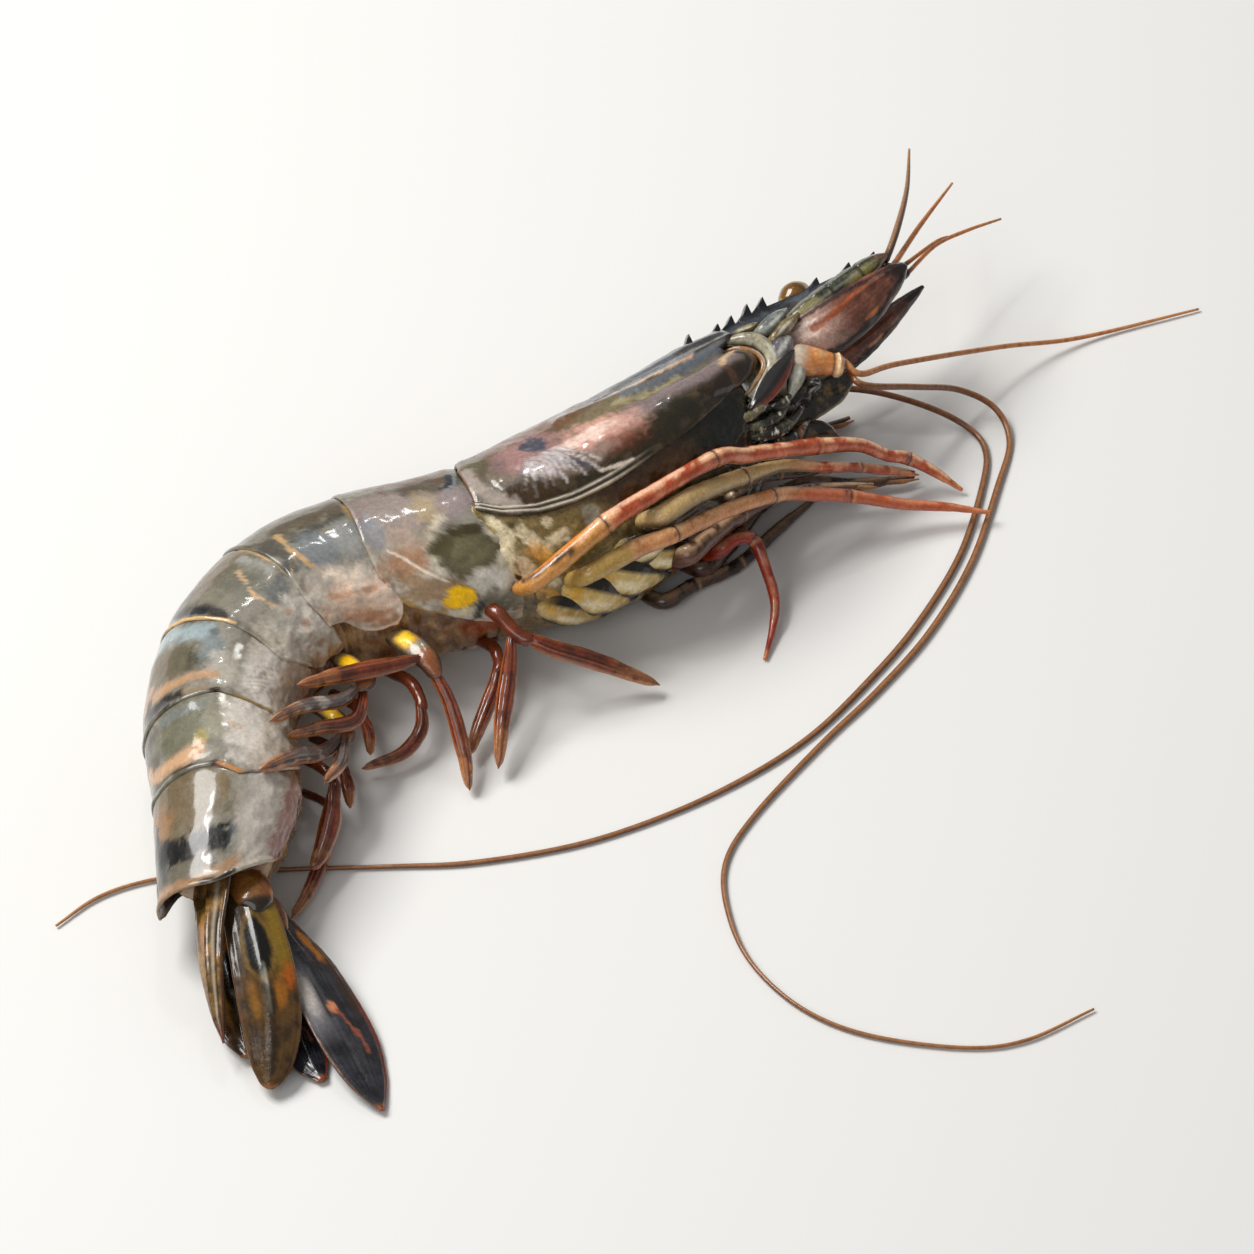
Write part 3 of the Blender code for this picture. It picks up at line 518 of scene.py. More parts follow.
    # rear margin
    skin.tint_and_light(skin.spot(3.86, 38, 2.6, 2.4), (92, 86, 62), 0.8)
    skin.tint_and_light(skin.line([(4.02, 46), (4.04, 60), (3.97, 72), (3.76, 84)], 2.6, 0.35), (164, 152, 142), 0.95)
    skin.tint_and_light(skin.line([(4.1, 40), (4.14, 62), (4.16, 76)], 0.5), (116, 80, 48), 0.9)
    skin.tint_and_light(skin.spot(4.17, 77, 0.8, 0.8), (58, 36, 20))
    rim = (rim_angle(station) - angle) * math.radians(1) * GIRTH
    there = smooth(2.1, 2.9, station)
    # rolled double rim: the near-black line in the groove between the beads is painted shade, and the two raised beads
    # are pale shell brightened with painted highlight
    skin.tint_and_light(np.exp(-((rim - 0.55) / 0.16) ** 2) * there, (16, 11, 8), 0.9)
    skin.tint_and_light(np.exp(-((rim - 0.2) / 0.15) ** 2) * there, (226, 214, 194), 0.9)
    skin.tint_and_light(np.exp(-((rim - 0.9) / 0.13) ** 2) * there, (232, 222, 204), 0.85)
    skin.lift(np.exp(-((rim - 0.2) / 0.16) ** 2) * there, 0.2)
    skin.lift(np.exp(-((rim - 0.9) / 0.16) ** 2) * there, 0.14)


def shape_shield(skin):
    """The dome, the grooves beside the crest and behind the dome's front, and small dents."""
    station, angle = skin.first, np.abs(skin.second)
    skin.lift(np.exp(-((angle - 74) / 17) ** 2) * (1 - smooth(3.2, 4.0, station)), 0.75)
    skin.lift(skin.line([(0.95, 73), (1.35, 73), (1.7, 71)], 5.0, 0, 0.9), 0.7)
    skin.lift(skin.line([(0.6, 41), (1.3, 43), (2.0, 40), (2.6, 30)], 2.4, 0, 0.9), 0.4)
    skin.lift(skin.line([(0.7, 54), (1.3, 56), (1.9, 52)], 2.0, 0, 0.9), -0.45)
    skin.lift(skin.line([(0.95, 94), (1.42, 86), (1.5, 76), (1.7, 70)], 1.2, 0.1, 0.9), -0.35)
    skin.lift(skin.line([(0.7, 30), (2.4, 20)], 2.6, 0, 0.9), -0.35)
    skin.lift(skin.line([(3.72, 44), (3.86, 60), (3.8, 74), (3.6, 84)], 1.4, 0.2, 0.9), -0.2)
    skin.lift(skin.broad, 0.14)
    skin.lift(skin.middle, 0.06)


SHIELD_SHELL = wet("shield_shell", 0.26, 0.75, 0.0, 0.2, 0.7, 0.12)
shield = add_piece("head_shield", plate(shield_front, shield_rear, shield_low, 150, 130, 0.6, shield_grow), SHIELD_SHELL,
                   "carapace", "carapace")
skin = Skin(shield, base=(60, 52, 40))
tint_and_light_shield(skin)
shape_shield(skin)
skin.finish()


# Rostrum: the flat toothed blade that stands on the middle of the head shield and runs forward
# over the eyes. It is the same hard shell, blue black, with its teeth hooked forward.
HEAD = body_frame(0)


def head_point(forward, back, right):
    """Place round the head, from the eyes' root: forward, towards the back, and to the right."""
    centre, tailward, to_back, to_right = HEAD[:4]
    return centre - tailward * forward + to_back * back + to_right * right


def head_route(*points):
    """Route of (x, y, z, size) from points of (forward, back, right, size)."""
    return [(*head_point(forward, back, right), size) for forward, back, right, size in points]


CREST = through([(-30, 11.0), (-24, 9.8), (-11.5, 9.1), (-4, 8.7), (2, 8.6), (8, 7.6), (18.5, 6.5), (25, 5.8)])
TEETH = [(-10.4, 2.0), (-5.4, 1.3), (-2.8, 1.4), (0.4, 1.7), (3.2, 1.6), (12.6, 1.1), (18.5, 1.1), (23.0, 1.0)]


def rostrum():
    outline = [(-30, CREST(-30) - 3), (-30, CREST(-30) - 0.6)]
    for tip, height in TEETH:
        root = tip - 2.4
        outline += [(root - 0.6, CREST(root - 0.6)), (root + 0.8, CREST(root + 0.8) + height * 0.35),
                    (tip - 0.5, CREST(tip) + height * 0.85), (tip, CREST(tip) + height),
                    (tip - 0.1, CREST(tip) + height * 0.45), (tip - 0.2, CREST(tip))]
    outline += [(24.6, CREST(24.6)), (25.0, 5.4), (21.0, 4.9), (10.0, 5.4), (2.0, 5.8), (-8.0, 5.4)]
    bm = bmesh.new()
    first, second = bm.verts.layers.float.new("first"), bm.verts.layers.float.new("second")
    flat = bm.faces.new([bm.verts.new(head_point(f, h, -0.45) * MM) for f, h in outline])
    grown = bmesh.ops.extrude_face_region(bm, geom=[flat])["geom"]
    top = [item for item in grown if isinstance(item, bmesh.types.BMVert)]
    bmesh.ops.translate(bm, verts=top, vec=HEAD[3] * 0.9 * MM)
    bmesh.ops.recalc_face_normals(bm, faces=bm.faces)
    bmesh.ops.triangulate(bm, faces=bm.faces)
    bmesh.ops.subdivide_edges(bm, edges=bm.edges, cuts=3, use_grid_fill=True)
    centre, tailward, to_back, to_right = HEAD[:4]
    for vert in bm.verts:
        offset = vert.co / MM - centre
        forward, back = -offset.dot(tailward), offset.dot(to_back)
        vert[first], vert[second] = forward, back
        rib = 0.55 * math.exp(-((back - CREST(forward) + 1.3) / 0.9) ** 2)
        vert.co += to_right * math.copysign(rib, offset.dot(to_right)) * MM
    return bm


def on_head(first, second):
    return np.asarray(first), np.asarray(second)


blade = add_piece("rostrum", rostrum(), SHIELD_SHELL, "carapace")
skin = Skin(blade, on_head, (27, 29, 33))
skin.mottle((60, 64, 69), (12, 13, 16), 0.6)
# grey line along the blade's rib: painted highlight
skin.tint_and_light(skin.line([(-24, 9.0), (-6, 8.0), (8, 6.8), (24, 5.4)], 0.7), (104, 110, 118), 0.7)
skin.tint_and_light(skin.line([(-6, 6.6), (10, 5.8), (24, 5.0)], 0.8), (150, 132, 108), 0.7)
skin.finish()


# Rings of the abdomen: six plates that slide under one another, grey green above with dark bands
# and tan joint lines, paler and pinkish down the flank. Each rear rim lies over the next ring.
RINGS = {
    1: (through([(0, 3.9), (40, 4.1), (60, 4.12), (80, 4.14), (100, 3.96), (160, 3.9)]),
        through([(0, 6.1), (60, 6.08), (90, 6.12), (112, 6.08), (121, 6.0), (128, 5.84), (132, 5.72), (165, 5.6)]),
        through([(0, 160), (0.2, 158), (0.4, 152), (0.6, 145), (0.8, 138), (1.0, 132)])),
    2: (through([(0, 6.02), (60, 6.02), (90, 6.04), (112, 6.0), (120, 5.94), (126, 5.82), (131, 5.75), (150, 5.75)]),
        through([(0, 7.27), (60, 7.27), (85, 7.28), (92, 7.32), (110, 7.39), (119, 7.4), (128, 7.36), (150, 7.3)]),
        through([(0, 131), (0.06, 140), (0.15, 145), (0.28, 148.5), (0.45, 147.5), (0.62, 142.5), (0.8, 139), (1, 137)])),
    3: (through([(0, 7.2), (85, 7.2), (110, 7.3), (120, 7.32), (130, 7.26), (165, 7.1)]),
        through([(0, 8.24), (60, 8.25), (80, 8.26), (95, 8.3), (118, 8.38), (128, 8.38), (142, 8.2), (160, 7.92)]),
        through([(0, 158), (0.3, 163), (0.5, 160), (0.75, 162), (1.0, 158)])),
    4: (through([(0, 8.16), (80, 8.18), (95, 8.2), (118, 8.28), (128, 8.28), (142, 8.1), (165, 7.82)]),
        through([(0, 9.25), (70, 9.26), (85, 9.26), (92, 9.32), (110, 9.45), (130, 9.53), (150, 9.3), (170, 8.8)]),
        through([(0, 162), (0.5, 168), (1.0, 164)])),
    5: (through([(0, 9.16), (70, 9.18), (85, 9.18), (110, 9.36), (130, 9.44), (150, 9.2), (170, 8.9)]),
        through([(0, 10.18), (20, 10.2), (40, 10.16), (60, 10.12), (78, 10.12), (95, 10.2), (120, 10.12), (160, 9.9)]),
        through([(0, 160), (0.5, 158), (1.0, 154)])),
    6: (through([(0, 10.08), (60, 10.03), (78, 10.03), (95, 10.1), (120, 10.05), (170, 10.0)]),
        through([(0, 11.22), (50, 11.24), (80, 11.24), (100, 11.14), (112, 11.06), (130, 10.95), (150, 10.82), (170, 10.6)]),
        through([(0, 162), (0.3, 168), (0.6, 162), (1.0, 154)])),
}


def ring_grow(number):
    """Tucked in at the front and proud at the rear rim, except the second ring's free front lobe."""
    def grow(share, angle):
        tucked = -0.5 * math.exp(-(share / 0.07) ** 2)
        if number == 2 and angle > 112:
            free = float(smooth(112, 124, np.float64(angle)))
            tucked = tucked * (1 - free) + 0.25 * free * (1 - share) ** 2
        lip = 0.28 * math.exp(-((1 - share) / 0.05) ** 2)
        return -0.15 + tucked + lip
    return grow


def dye_ring_base(skin):
    angle = np.abs(skin.second)
    skin.tint_and_light(smooth(52, 84, angle + 14 * skin.broad), (128, 124, 114))
    skin.tint_and_light(smooth(92, 122, angle + 14 * skin.broad), (180, 171, 157))
    skin.tint_and_light(smooth(140, 158, angle + 10 * skin.broad), (162, 126, 98))
    low = smooth(84, 112, angle)
    skin.tint_and_light(smooth(0.0, 0.4, skin.middle + 0.5 * skin.fine) * low, (226, 216, 204), 0.32)
    skin.tint_and_light(smooth(0.0, 0.5, -skin.middle - 0.4 * skin.fine) * low, (146, 122, 102), 0.38)
    skin.tint_and_light(smooth(0.0, 0.5, skin.middle + 0.4 * skin.fine) * (1 - low), (150, 144, 130), 0.4)
    skin.tint_and_light(smooth(0.0, 0.5, -skin.middle) * (1 - low), (70, 66, 54), 0.45)


def dye_ring_1(skin):
    skin.tint_and_light(skin.spot(4.5, 66, 5, 3.6), (146, 134, 134), 0.9)
    skin.tint_and_light(skin.spot(5.5, 66, 8, 4.4), (150, 136, 130), 0.9)
    skin.tint_and_light(skin.spot(4.9, 46, 5, 2.4), (76, 68, 54), 0.85)
    skin.tint_and_light(skin.spot(5.0, 20, 9, 5), (96, 68, 50), 0.8)
    skin.tint_and_light(skin.line([(4.28, 40), (4.3, 50), (4.46, 54)], 1.7, 0.5), (40, 44, 46))
    skin.tint_and_light(skin.line([(4.22, 44), (4.3, 53), (4.5, 57)], 0.5), (126, 132, 136))
    skin.tint_and_light(skin.spot(4.95, 72, 1.5, 3, 0, 0.8, 0.6), (172, 154, 120), 0.7)
    skin.tint_and_light(skin.spot(5.55, 93, 4.6, 2.6, 0, 0.7, 0.7), (176, 156, 142), 0.7)
    skin.tint_and_light(skin.spot(5.62, 106, 4.8, 2.0, 6, 0.7, 0.7), (176, 130, 98), 0.75)
    skin.tint_and_light(skin.spot(5.92, 84, 1.6, 3), (138, 140, 144), 0.8)
    skin.tint_and_light(skin.line([(4.1, 84), (4.16, 104), (4.08, 124)], 1.6, 0.8), (192, 184, 164), 0.9)
    skin.tint_and_light(skin.line([(4.8, 80), (5.0, 90), (5.1, 101), (5.02, 116)], 1.3, 0.8), (204, 194, 174), 0.85)
    skin.tint_and_light(skin.spot(4.58, 105, 4.5, 3.9, 0, 0.22, 0.16), (84, 79, 58))
    skin.tint_and_light(skin.spot(4.56, 106, 2.8, 2.4, 0, 0.5, 0.5), (116, 108, 82), 0.7)
    skin.tint_and_light(skin.spot(4.45, 91, 3.2, 0.8, 0, 0.7), (58, 50, 30), 0.9)
    skin.tint_and_light(skin.spot(4.9, 97, 1.6, 1.8, 0, 0.7), (72, 64, 38), 0.7)
    skin.tint_and_light(skin.spot(4.3, 126, 2.8, 1.9), (206, 200, 188), 0.95)
    skin.tint_and_light(skin.spot(4.24, 142, 3.2, 2.2), (104, 98, 78), 0.9)
    skin.tint_and_light(skin.spot(5.3, 124, 4.6, 2.2), (150, 122, 92), 0.85)
    skin.tint_and_light(skin.line([(4.98, 121), (5.3, 111), (5.56, 103), (5.8, 98)], 0.4, 0.3), (232, 218, 198), 0.9)
    skin.tint_and_light(skin.spot(4.8, 134, 2.5, 2.0, 0, 0.3, 0.15), (40, 34, 22), 0.8)
    skin.tint_and_light(skin.spot(4.82, 133.5, 2.2, 1.8, 0, 0.3, 0.15), (255, 196, 50))
    skin.tint_and_light(skin.spot(4.78, 141.5, 1.5, 0.8, 0, 0.5), (226, 212, 170), 0.95)
    skin.tint_and_light(skin.line([(4.52, 140), (4.56, 148), (4.68, 150)], 0.8, 1.0), (36, 32, 28), 0.9)
    skin.tint_and_light(skin.line([(5.72, 130), (5.4, 137), (5.05, 144), (4.75, 151), (4.5, 157)], 0.7, 0.4), (150, 116, 60), 0.9)


def dye_ring_2(skin):
    skin.tint_and_light(skin.spot(6.5, 45, 9, 4.2), (84, 74, 58), 0.85)
    skin.tint_and_light(skin.line([(6.1, 62), (6.5, 66), (6.9, 70)], 1.4, 0.9), (64, 62, 54), 0.9)
    skin.tint_and_light(skin.spot(6.28, 82, 3.2, 3.4), (136, 136, 134), 0.9)
    skin.tint_and_light(skin.spot(6.72, 84, 3.0, 3.6), (116, 120, 122), 0.9)
    skin.tint_and_light(skin.spot(7.14, 68, 1.7, 3.4), (78, 74, 66), 0.85)
    skin.tint_and_light(skin.spot(7.2, 88, 1.2, 1.6), (84, 84, 82), 0.9)
    skin.tint_and_light(skin.line([(6.97, 56), (7.02, 76), (6.98, 92), (6.86, 102), (6.7, 106)], 0.7, 0.7), (190, 158, 116), 0.9)
    skin.tint_and_light(skin.line([(6.1, 50), (6.12, 66)], 0.8, 0.6), (156, 130, 88), 0.9)
    skin.tint_and_light(skin.line([(7.06, 81), (7.16, 86), (7.28, 92)], 0.45, 0.5), (196, 176, 146), 0.8)
    skin.tint_and_light(skin.line([(7.1, 83), (7.2, 88)], 0.4, 0.5), (48, 44, 36), 0.8)
    skin.tint_and_light(skin.spot(6.9, 106, 3.6, 2.0), (170, 160, 150), 0.8)
    skin.tint_and_light(skin.spot(6.4, 112, 4.6, 1.8, 0, 0.8), (222, 204, 188), 0.9)
    skin.tint_and_light(skin.spot(6.55, 126, 7.4, 2.8, 0, 0.7, 0.6), (218, 188, 168), 0.85)
    skin.tint_and_light(skin.line([(6.2, 119), (6.6, 121), (7.0, 120)], 0.9, 1.0), (190, 146, 116), 0.7)
    skin.tint_and_light(skin.spot(6.5, 138, 6.4, 1.1, -3, 0.6, 0.6), (160, 108, 74), 0.8)
    skin.tint_and_light(skin.line([(5.8, 134), (5.9, 142), (6.1, 146.5), (6.3, 147.5), (6.5, 145)], 0.5, 0.3), (230, 202, 182), 0.9)


def dye_ring_3(skin):
    skin.tint_and_light(skin.spot(7.5, 30, 9, 6), (100, 82, 58), 0.7)
    skin.tint_and_light(skin.line([(7.27, 40), (7.28, 88)], 0.8, 0.5), (200, 164, 122), 0.9)
    skin.tint_and_light(skin.line([(7.42, 52), (7.42, 80)], 1.6, 0.5), (152, 150, 144), 0.85)
    skin.tint_and_light(skin.spot(7.7, 70, 3.2, 4.6), (108, 106, 94), 0.85)
    skin.tint_and_light(skin.spot(7.6, 94, 2.6, 2.2), (104, 106, 106), 0.85)
    skin.tint_and_light(skin.spot(7.95, 62, 1.4, 4.0), (122, 118, 104), 0.8)
    skin.tint_and_light(skin.line([(7.58, 60), (7.68, 72), (7.8, 86), (7.78, 100), (7.7, 112)], 0.7, 0.8), (206, 174, 138), 0.9)
    skin.tint_and_light(skin.spot(7.6, 120, 2.8, 3.6, 0, 0.8), (224, 214, 204), 0.85)
    skin.tint_and_light(skin.spot(7.85, 112, 3.4, 2.4), (168, 162, 152), 0.8)
    for station, angle in ((7.62, 126), (7.72, 111), (7.7, 134), (7.6, 144), (7.5, 152), (7.9, 140), (7.75, 150)):
        skin.tint_and_light(skin.spot(station, angle, 1.0, 0.6, 20, 0.9), (160, 112, 84), 0.6)
    skin.tint_and_light(skin.line([(7.9, -30), (7.98, 0), (8.1, 22), (8.13, 45), (8.13, 62), (8.2, 74)], 1.9, 0.35), (54, 50, 46))
    skin.tint_and_light(skin.spot(8.15, 55, 0.8, 1.2), (24, 26, 32))
    skin.tint_and_light(skin.line([(8.19, 0), (8.24, 30), (8.24, 84)], 0.45, 0.3), (214, 178, 132), 0.95)


def dye_ring_4(skin):
    skin.tint_and_light(skin.line([(8.22, -30), (8.32, 0), (8.42, 22), (8.42, 48), (8.4, 68)], 3.0, 0.3), (148, 160, 162))
    skin.tint_and_light(skin.spot(8.76, 34, 3.4, 8), (98, 86, 66), 0.85)
    skin.tint_and_light(skin.spot(8.72, 56, 2.4, 3.2), (92, 90, 72), 0.8)
    skin.tint_and_light(skin.spot(8.76, 62, 1.4, 1.2, 0, 0.6), (58, 54, 38), 0.9)
    skin.tint_and_light(skin.spot(8.6, 76, 2.6, 2.2), (112, 120, 122), 0.85)
    skin.tint_and_light(skin.spot(8.4, 74, 0.8, 0.9), (84, 88, 90), 0.8)
    skin.tint_and_light(skin.spot(8.9, 88, 4.0, 2.6), (178, 172, 160), 0.8)
    skin.tint_and_light(skin.line([(8.52, 94), (8.66, 95)], 0.8, 1.0), (240, 236, 228), 0.9)
    skin.tint_and_light(skin.line([(8.9, -20), (9.02, 10), (9.03, 40), (9.0, 58), (8.98, 82)], 1.7, 0.5), (182, 142, 108), 0.8)
    skin.tint_and_light(skin.line([(9.05, -20), (9.15, 12), (9.17, 45), (9.18, 56)], 1.9, 0.4), (34, 26, 20))
    skin.tint_and_light(skin.line([(9.17, 60), (9.18, 76)], 1.2, 0.6), (140, 122, 96), 0.8)
    skin.tint_and_light(skin.spot(8.9, 118, 8, 3.4, 0, 0.4), (214, 206, 198), 0.85)
    skin.tint_and_light(skin.spot(8.8, 142, 8, 3.2, 0, 0.5), (188, 170, 154), 0.85)
    for k in range(7):
        skin.tint_and_light(skin.line([(8.6 + 0.1 * k, 128 - k), (8.72 + 0.1 * k, 112 - k)], 0.5, 1.3), (170, 154, 140), 0.6)
    skin.tint_and_light(skin.spot(9.24, 83, 0.8, 1.2, 0, 0.7), (50, 34, 18))
    skin.tint_and_light(skin.line([(9.34, 94), (9.44, 108), (9.5, 126)], 0.9, 0.5), (128, 108, 66), 0.9)
    skin.tint_and_light(skin.line([(9.5, 132), (9.3, 148), (9.0, 158)], 0.9, 0.4), (136, 104, 56), 0.9)


def dye_ring_5(skin):
    skin.tint_and_light(skin.spot(9.55, 12, 6.5, 5), (58, 44, 32), 0.95)
    skin.tint_and_light(skin.spot(9.6, 54, 5.4, 6.4), (106, 104, 86), 0.9)
    skin.tint_and_light(skin.line([(9.36, 36), (9.38, 60), (9.4, 74)], 1.6, 0.6), (116, 120, 116), 0.8)
    skin.tint_and_light(skin.spot(9.8, 66, 1.3, 1.3, 0, 0.7), (146, 132, 70), 0.9)
    skin.tint_and_light(skin.line([(9.72, -6), (9.9, 12), (9.97, 32), (9.96, 52), (9.92, 64)], 2.9, 0.45), (196, 156, 122), 0.85)
    skin.tint_and_light(skin.line([(10.1, 20), (10.08, 60)], 0.5, 0.4), (60, 44, 30), 0.9)
    skin.tint_and_light(skin.line([(9.28, 88), (9.42, 88)], 1.0, 0.6), (236, 228, 214), 0.9)
    skin.tint_and_light(skin.spot(9.7, 100, 5.4, 3.6, 0, 0.5), (208, 200, 190), 0.85)
    skin.tint_and_light(skin.line([(9.7, 88), (9.76, 98)], 0.5, 1.0), (186, 144, 100), 0.8)
    skin.tint_and_light(skin.spot(9.62, 78, 3.4, 1.4), (140, 136, 118), 0.8)
    skin.tint_and_light(skin.spot(10.1, 77, 0.8, 0.8), (52, 32, 18))
    skin.tint_and_light(skin.line([(10.1, 80), (10.17, 92), (10.2, 100)], 0.8, 0.5), (182, 124, 72), 0.9)


def dye_ring_6(skin):
    skin.tint_and_light(skin.spot(10.42, 46, 7.4, 10), (106, 92, 70), 0.95)
    skin.tint_and_light(skin.spot(10.55, 12, 3.4, 6), (138, 100, 62), 0.8)
    skin.tint_and_light(skin.spot(11.05, 48, 3.6, 10), (100, 94, 80), 0.9)
    skin.tint_and_light(skin.spot(11.0, 5, 3.0, 6), (52, 54, 54), 0.9)
    skin.tint_and_light(skin.line([(10.62, -12), (10.74, 10), (10.82, 26), (10.87, 44), (10.84, 60), (10.8, 76), (10.76, 90)],
                       3.8, 0.5, 0.2), (11, 11, 9))
    skin.tint_and_light(skin.spot(10.74, 97, 2.0, 1.4, 0, 0.6, 0.6), (84, 92, 98), 0.6)
    skin.tint_and_light(skin.line([(11.16, 10), (11.2, 40), (11.2, 64), (11.12, 84), (10.98, 104)], 2.2, 0.45), (160, 124, 92), 0.75)
    skin.tint_and_light(skin.line([(11.22, 70), (11.2, 88), (11.1, 102)], 0.8, 0.5), (18, 14, 12), 0.9)
    skin.tint_and_light(skin.spot(10.5, 118, 8, 4.4, 0, 0.5), (182, 174, 166), 0.9)
    skin.tint_and_light(skin.spot(10.3, 84, 3, 1.2), (120, 104, 78), 0.8)
    skin.tint_and_light(skin.spot(10.45, 150, 8, 3.2, 0, 0.5), (148, 108, 100), 0.95)
    skin.tint_and_light(skin.line([(10.2, 160), (10.5, 163), (10.72, 158), (10.9, 148), (11.05, 120)], 0.8, 0.4), (40, 26, 24), 0.9)


RING_SHELL = wet("ring_shell", 0.26, 0.65, 0.08, 0.16, 0.6, 0.07)
DYES = {1: dye_ring_1, 2: dye_ring_2, 3: dye_ring_3, 4: dye_ring_4, 5: dye_ring_5, 6: dye_ring_6}
for number, (front, rear, low) in RINGS.items():
    rows = 56 if number == 1 else 44
    ring = add_piece(f"ring_{number}", plate(front, rear, low, rows, 190, 0.5, ring_grow(number), recede=0.6 * (number == 6)), RING_SHELL,
                     "segments", f"segment_{number}")
    skin = Skin(ring, base=(96, 92, 78))
    dye_ring_base(skin)
    DYES[number](skin)
    skin.lift(skin.broad, 0.16)
    skin.lift(skin.middle * smooth(84, 112, np.abs(skin.second)), 0.22)
    skin.lift(skin.middle, 0.05)
    skin.finish()


# Flesh inside the rings: the membrane that shows between the plates and along the belly, brown
# and translucent. It fills the rings and carries the swimmerets' roots.
def core():
    rows = []
    count, columns = 90, 60
    for i in range(count + 1):
        station = 3.9 + 7.05 * i / count
        end = min(i, count - i) / 5
        sunk = 0.75 + 2.5 * math.exp(-end * 1.5)
        row = []
        for j in range(columns):
            angle = 360 * j / columns
            ridge = 0.25 * math.cos(station * 22) if 120 < angle < 240 else 0
            row.append((body_point(station, angle, ridge - sunk), station, angle if angle < 180 else 360 - angle))
        rows.append(row)
    return sweep(rows)


FLESH = wet("belly_flesh", 0.3, 0.6, 0.2)
skin = Skin(add_piece("belly_flesh", core(), FLESH, "segments"), base=(128, 92, 58))
skin.mottle((176, 146, 104), (84, 50, 28), 0.7)
skin.tint_and_light(skin.spot(4.35, 162, 4, 3), (150, 70, 34), 0.8)
skin.lift(skin.middle, 0.3)
skin.finish()


# Tail fan: the pointed telson and two pairs of blades behind the last ring. They are thin horny
# plates with a raised midrib and a hard bright edge, blue black and brown with orange patches.
def blade_piece(name, routes, face, thickness, surface, slot, base, replaced=(), cup=0.0, ribs=0.0, sides=32):
    """Piece of one or more blades; each next blade's lengths start from a hundred further."""
    shells = []
    for number, route in enumerate(routes):
        rows = leaf_rows(route, face, thickness, cup, ribs, sides, 0.3)
        shells.append([[(point, length + 100 * number, share) for point, length, share in row] for row in rows])
    made = add_piece(name, sweep(*shells), surface, slot, *replaced)
    return Skin(made, on_limb, base)


TAIL = {
    "telson": (((-87.4, 26.6, 11.4, 3.4), (-90.6, 22.4, 12.0, 4.0), (-93.5, 18.9, 11.8, 3.5), (-96.6, 15.4, 10.7, 2.8),
                (-99.8, 11.0, 8.9, 2.2), (-102.4, 6.6, 6.6, 1.3), (-104.8, 2.4, 4.8, 0.1)), (-0.6, 0.45, 0.66), 1.9, -0.1),
    "uropod_inner_right": (((-87.2, 21.0, 11.4, 3.0), (-88.8, 17.2, 11.6, 3.7), (-90.4, 13.6, 11.0, 4.1), (-93.6, 7.2, 9.1, 4.5),
                            (-97.4, 0.6, 6.0, 4.3), (-101.0, -4.0, 3.6, 3.1), (-102.9, -6.0, 2.4, 1.6),
                            (-103.6, -6.8, 2.0, 0.2)), (0.1, 0.1, 1), 1.3, 0.1),
    "uropod_outer_right": (((-85.2, 16.4, 7.2, 2.0), (-85.9, 11.0, 6.0, 3.4), (-86.5, 5.0, 4.8, 4.3),
                            (-89.0, -6.0, 2.9, 4.7), (-91.2, -13.0, 1.8, 3.5), (-92.5, -17.0, 1.3, 1.8),
                            (-93.2, -19.6, 1.0, 0.2)), (0.3, 0, 1), 1.0, 0.08),
    "uropod_inner_left": (((-92.5, 18.2, 4.4, 2.2), (-96.5, 11.0, 3.4, 3.6), (-100.0, 4.5, 2.2, 3.2),
                           (-102.0, 0.5, 1.4, 0.8)), (0, 0, 1), 1.0, 0.05),
    "uropod_outer_left": (((-89.5, 15.5, 2.8, 2.0), (-92.0, 4.0, 1.6, 3.4), (-95.2, -5.0, 1.0, 2.8),
                           (-96.2, -9.5, 0.8, 0.6)), (0, 0, 1), 0.9, 0.05),
}
TAIL_SHELL = wet("tail_shell", 0.24, 0.7, 0.0, 0.18, 0.5, 0.05)


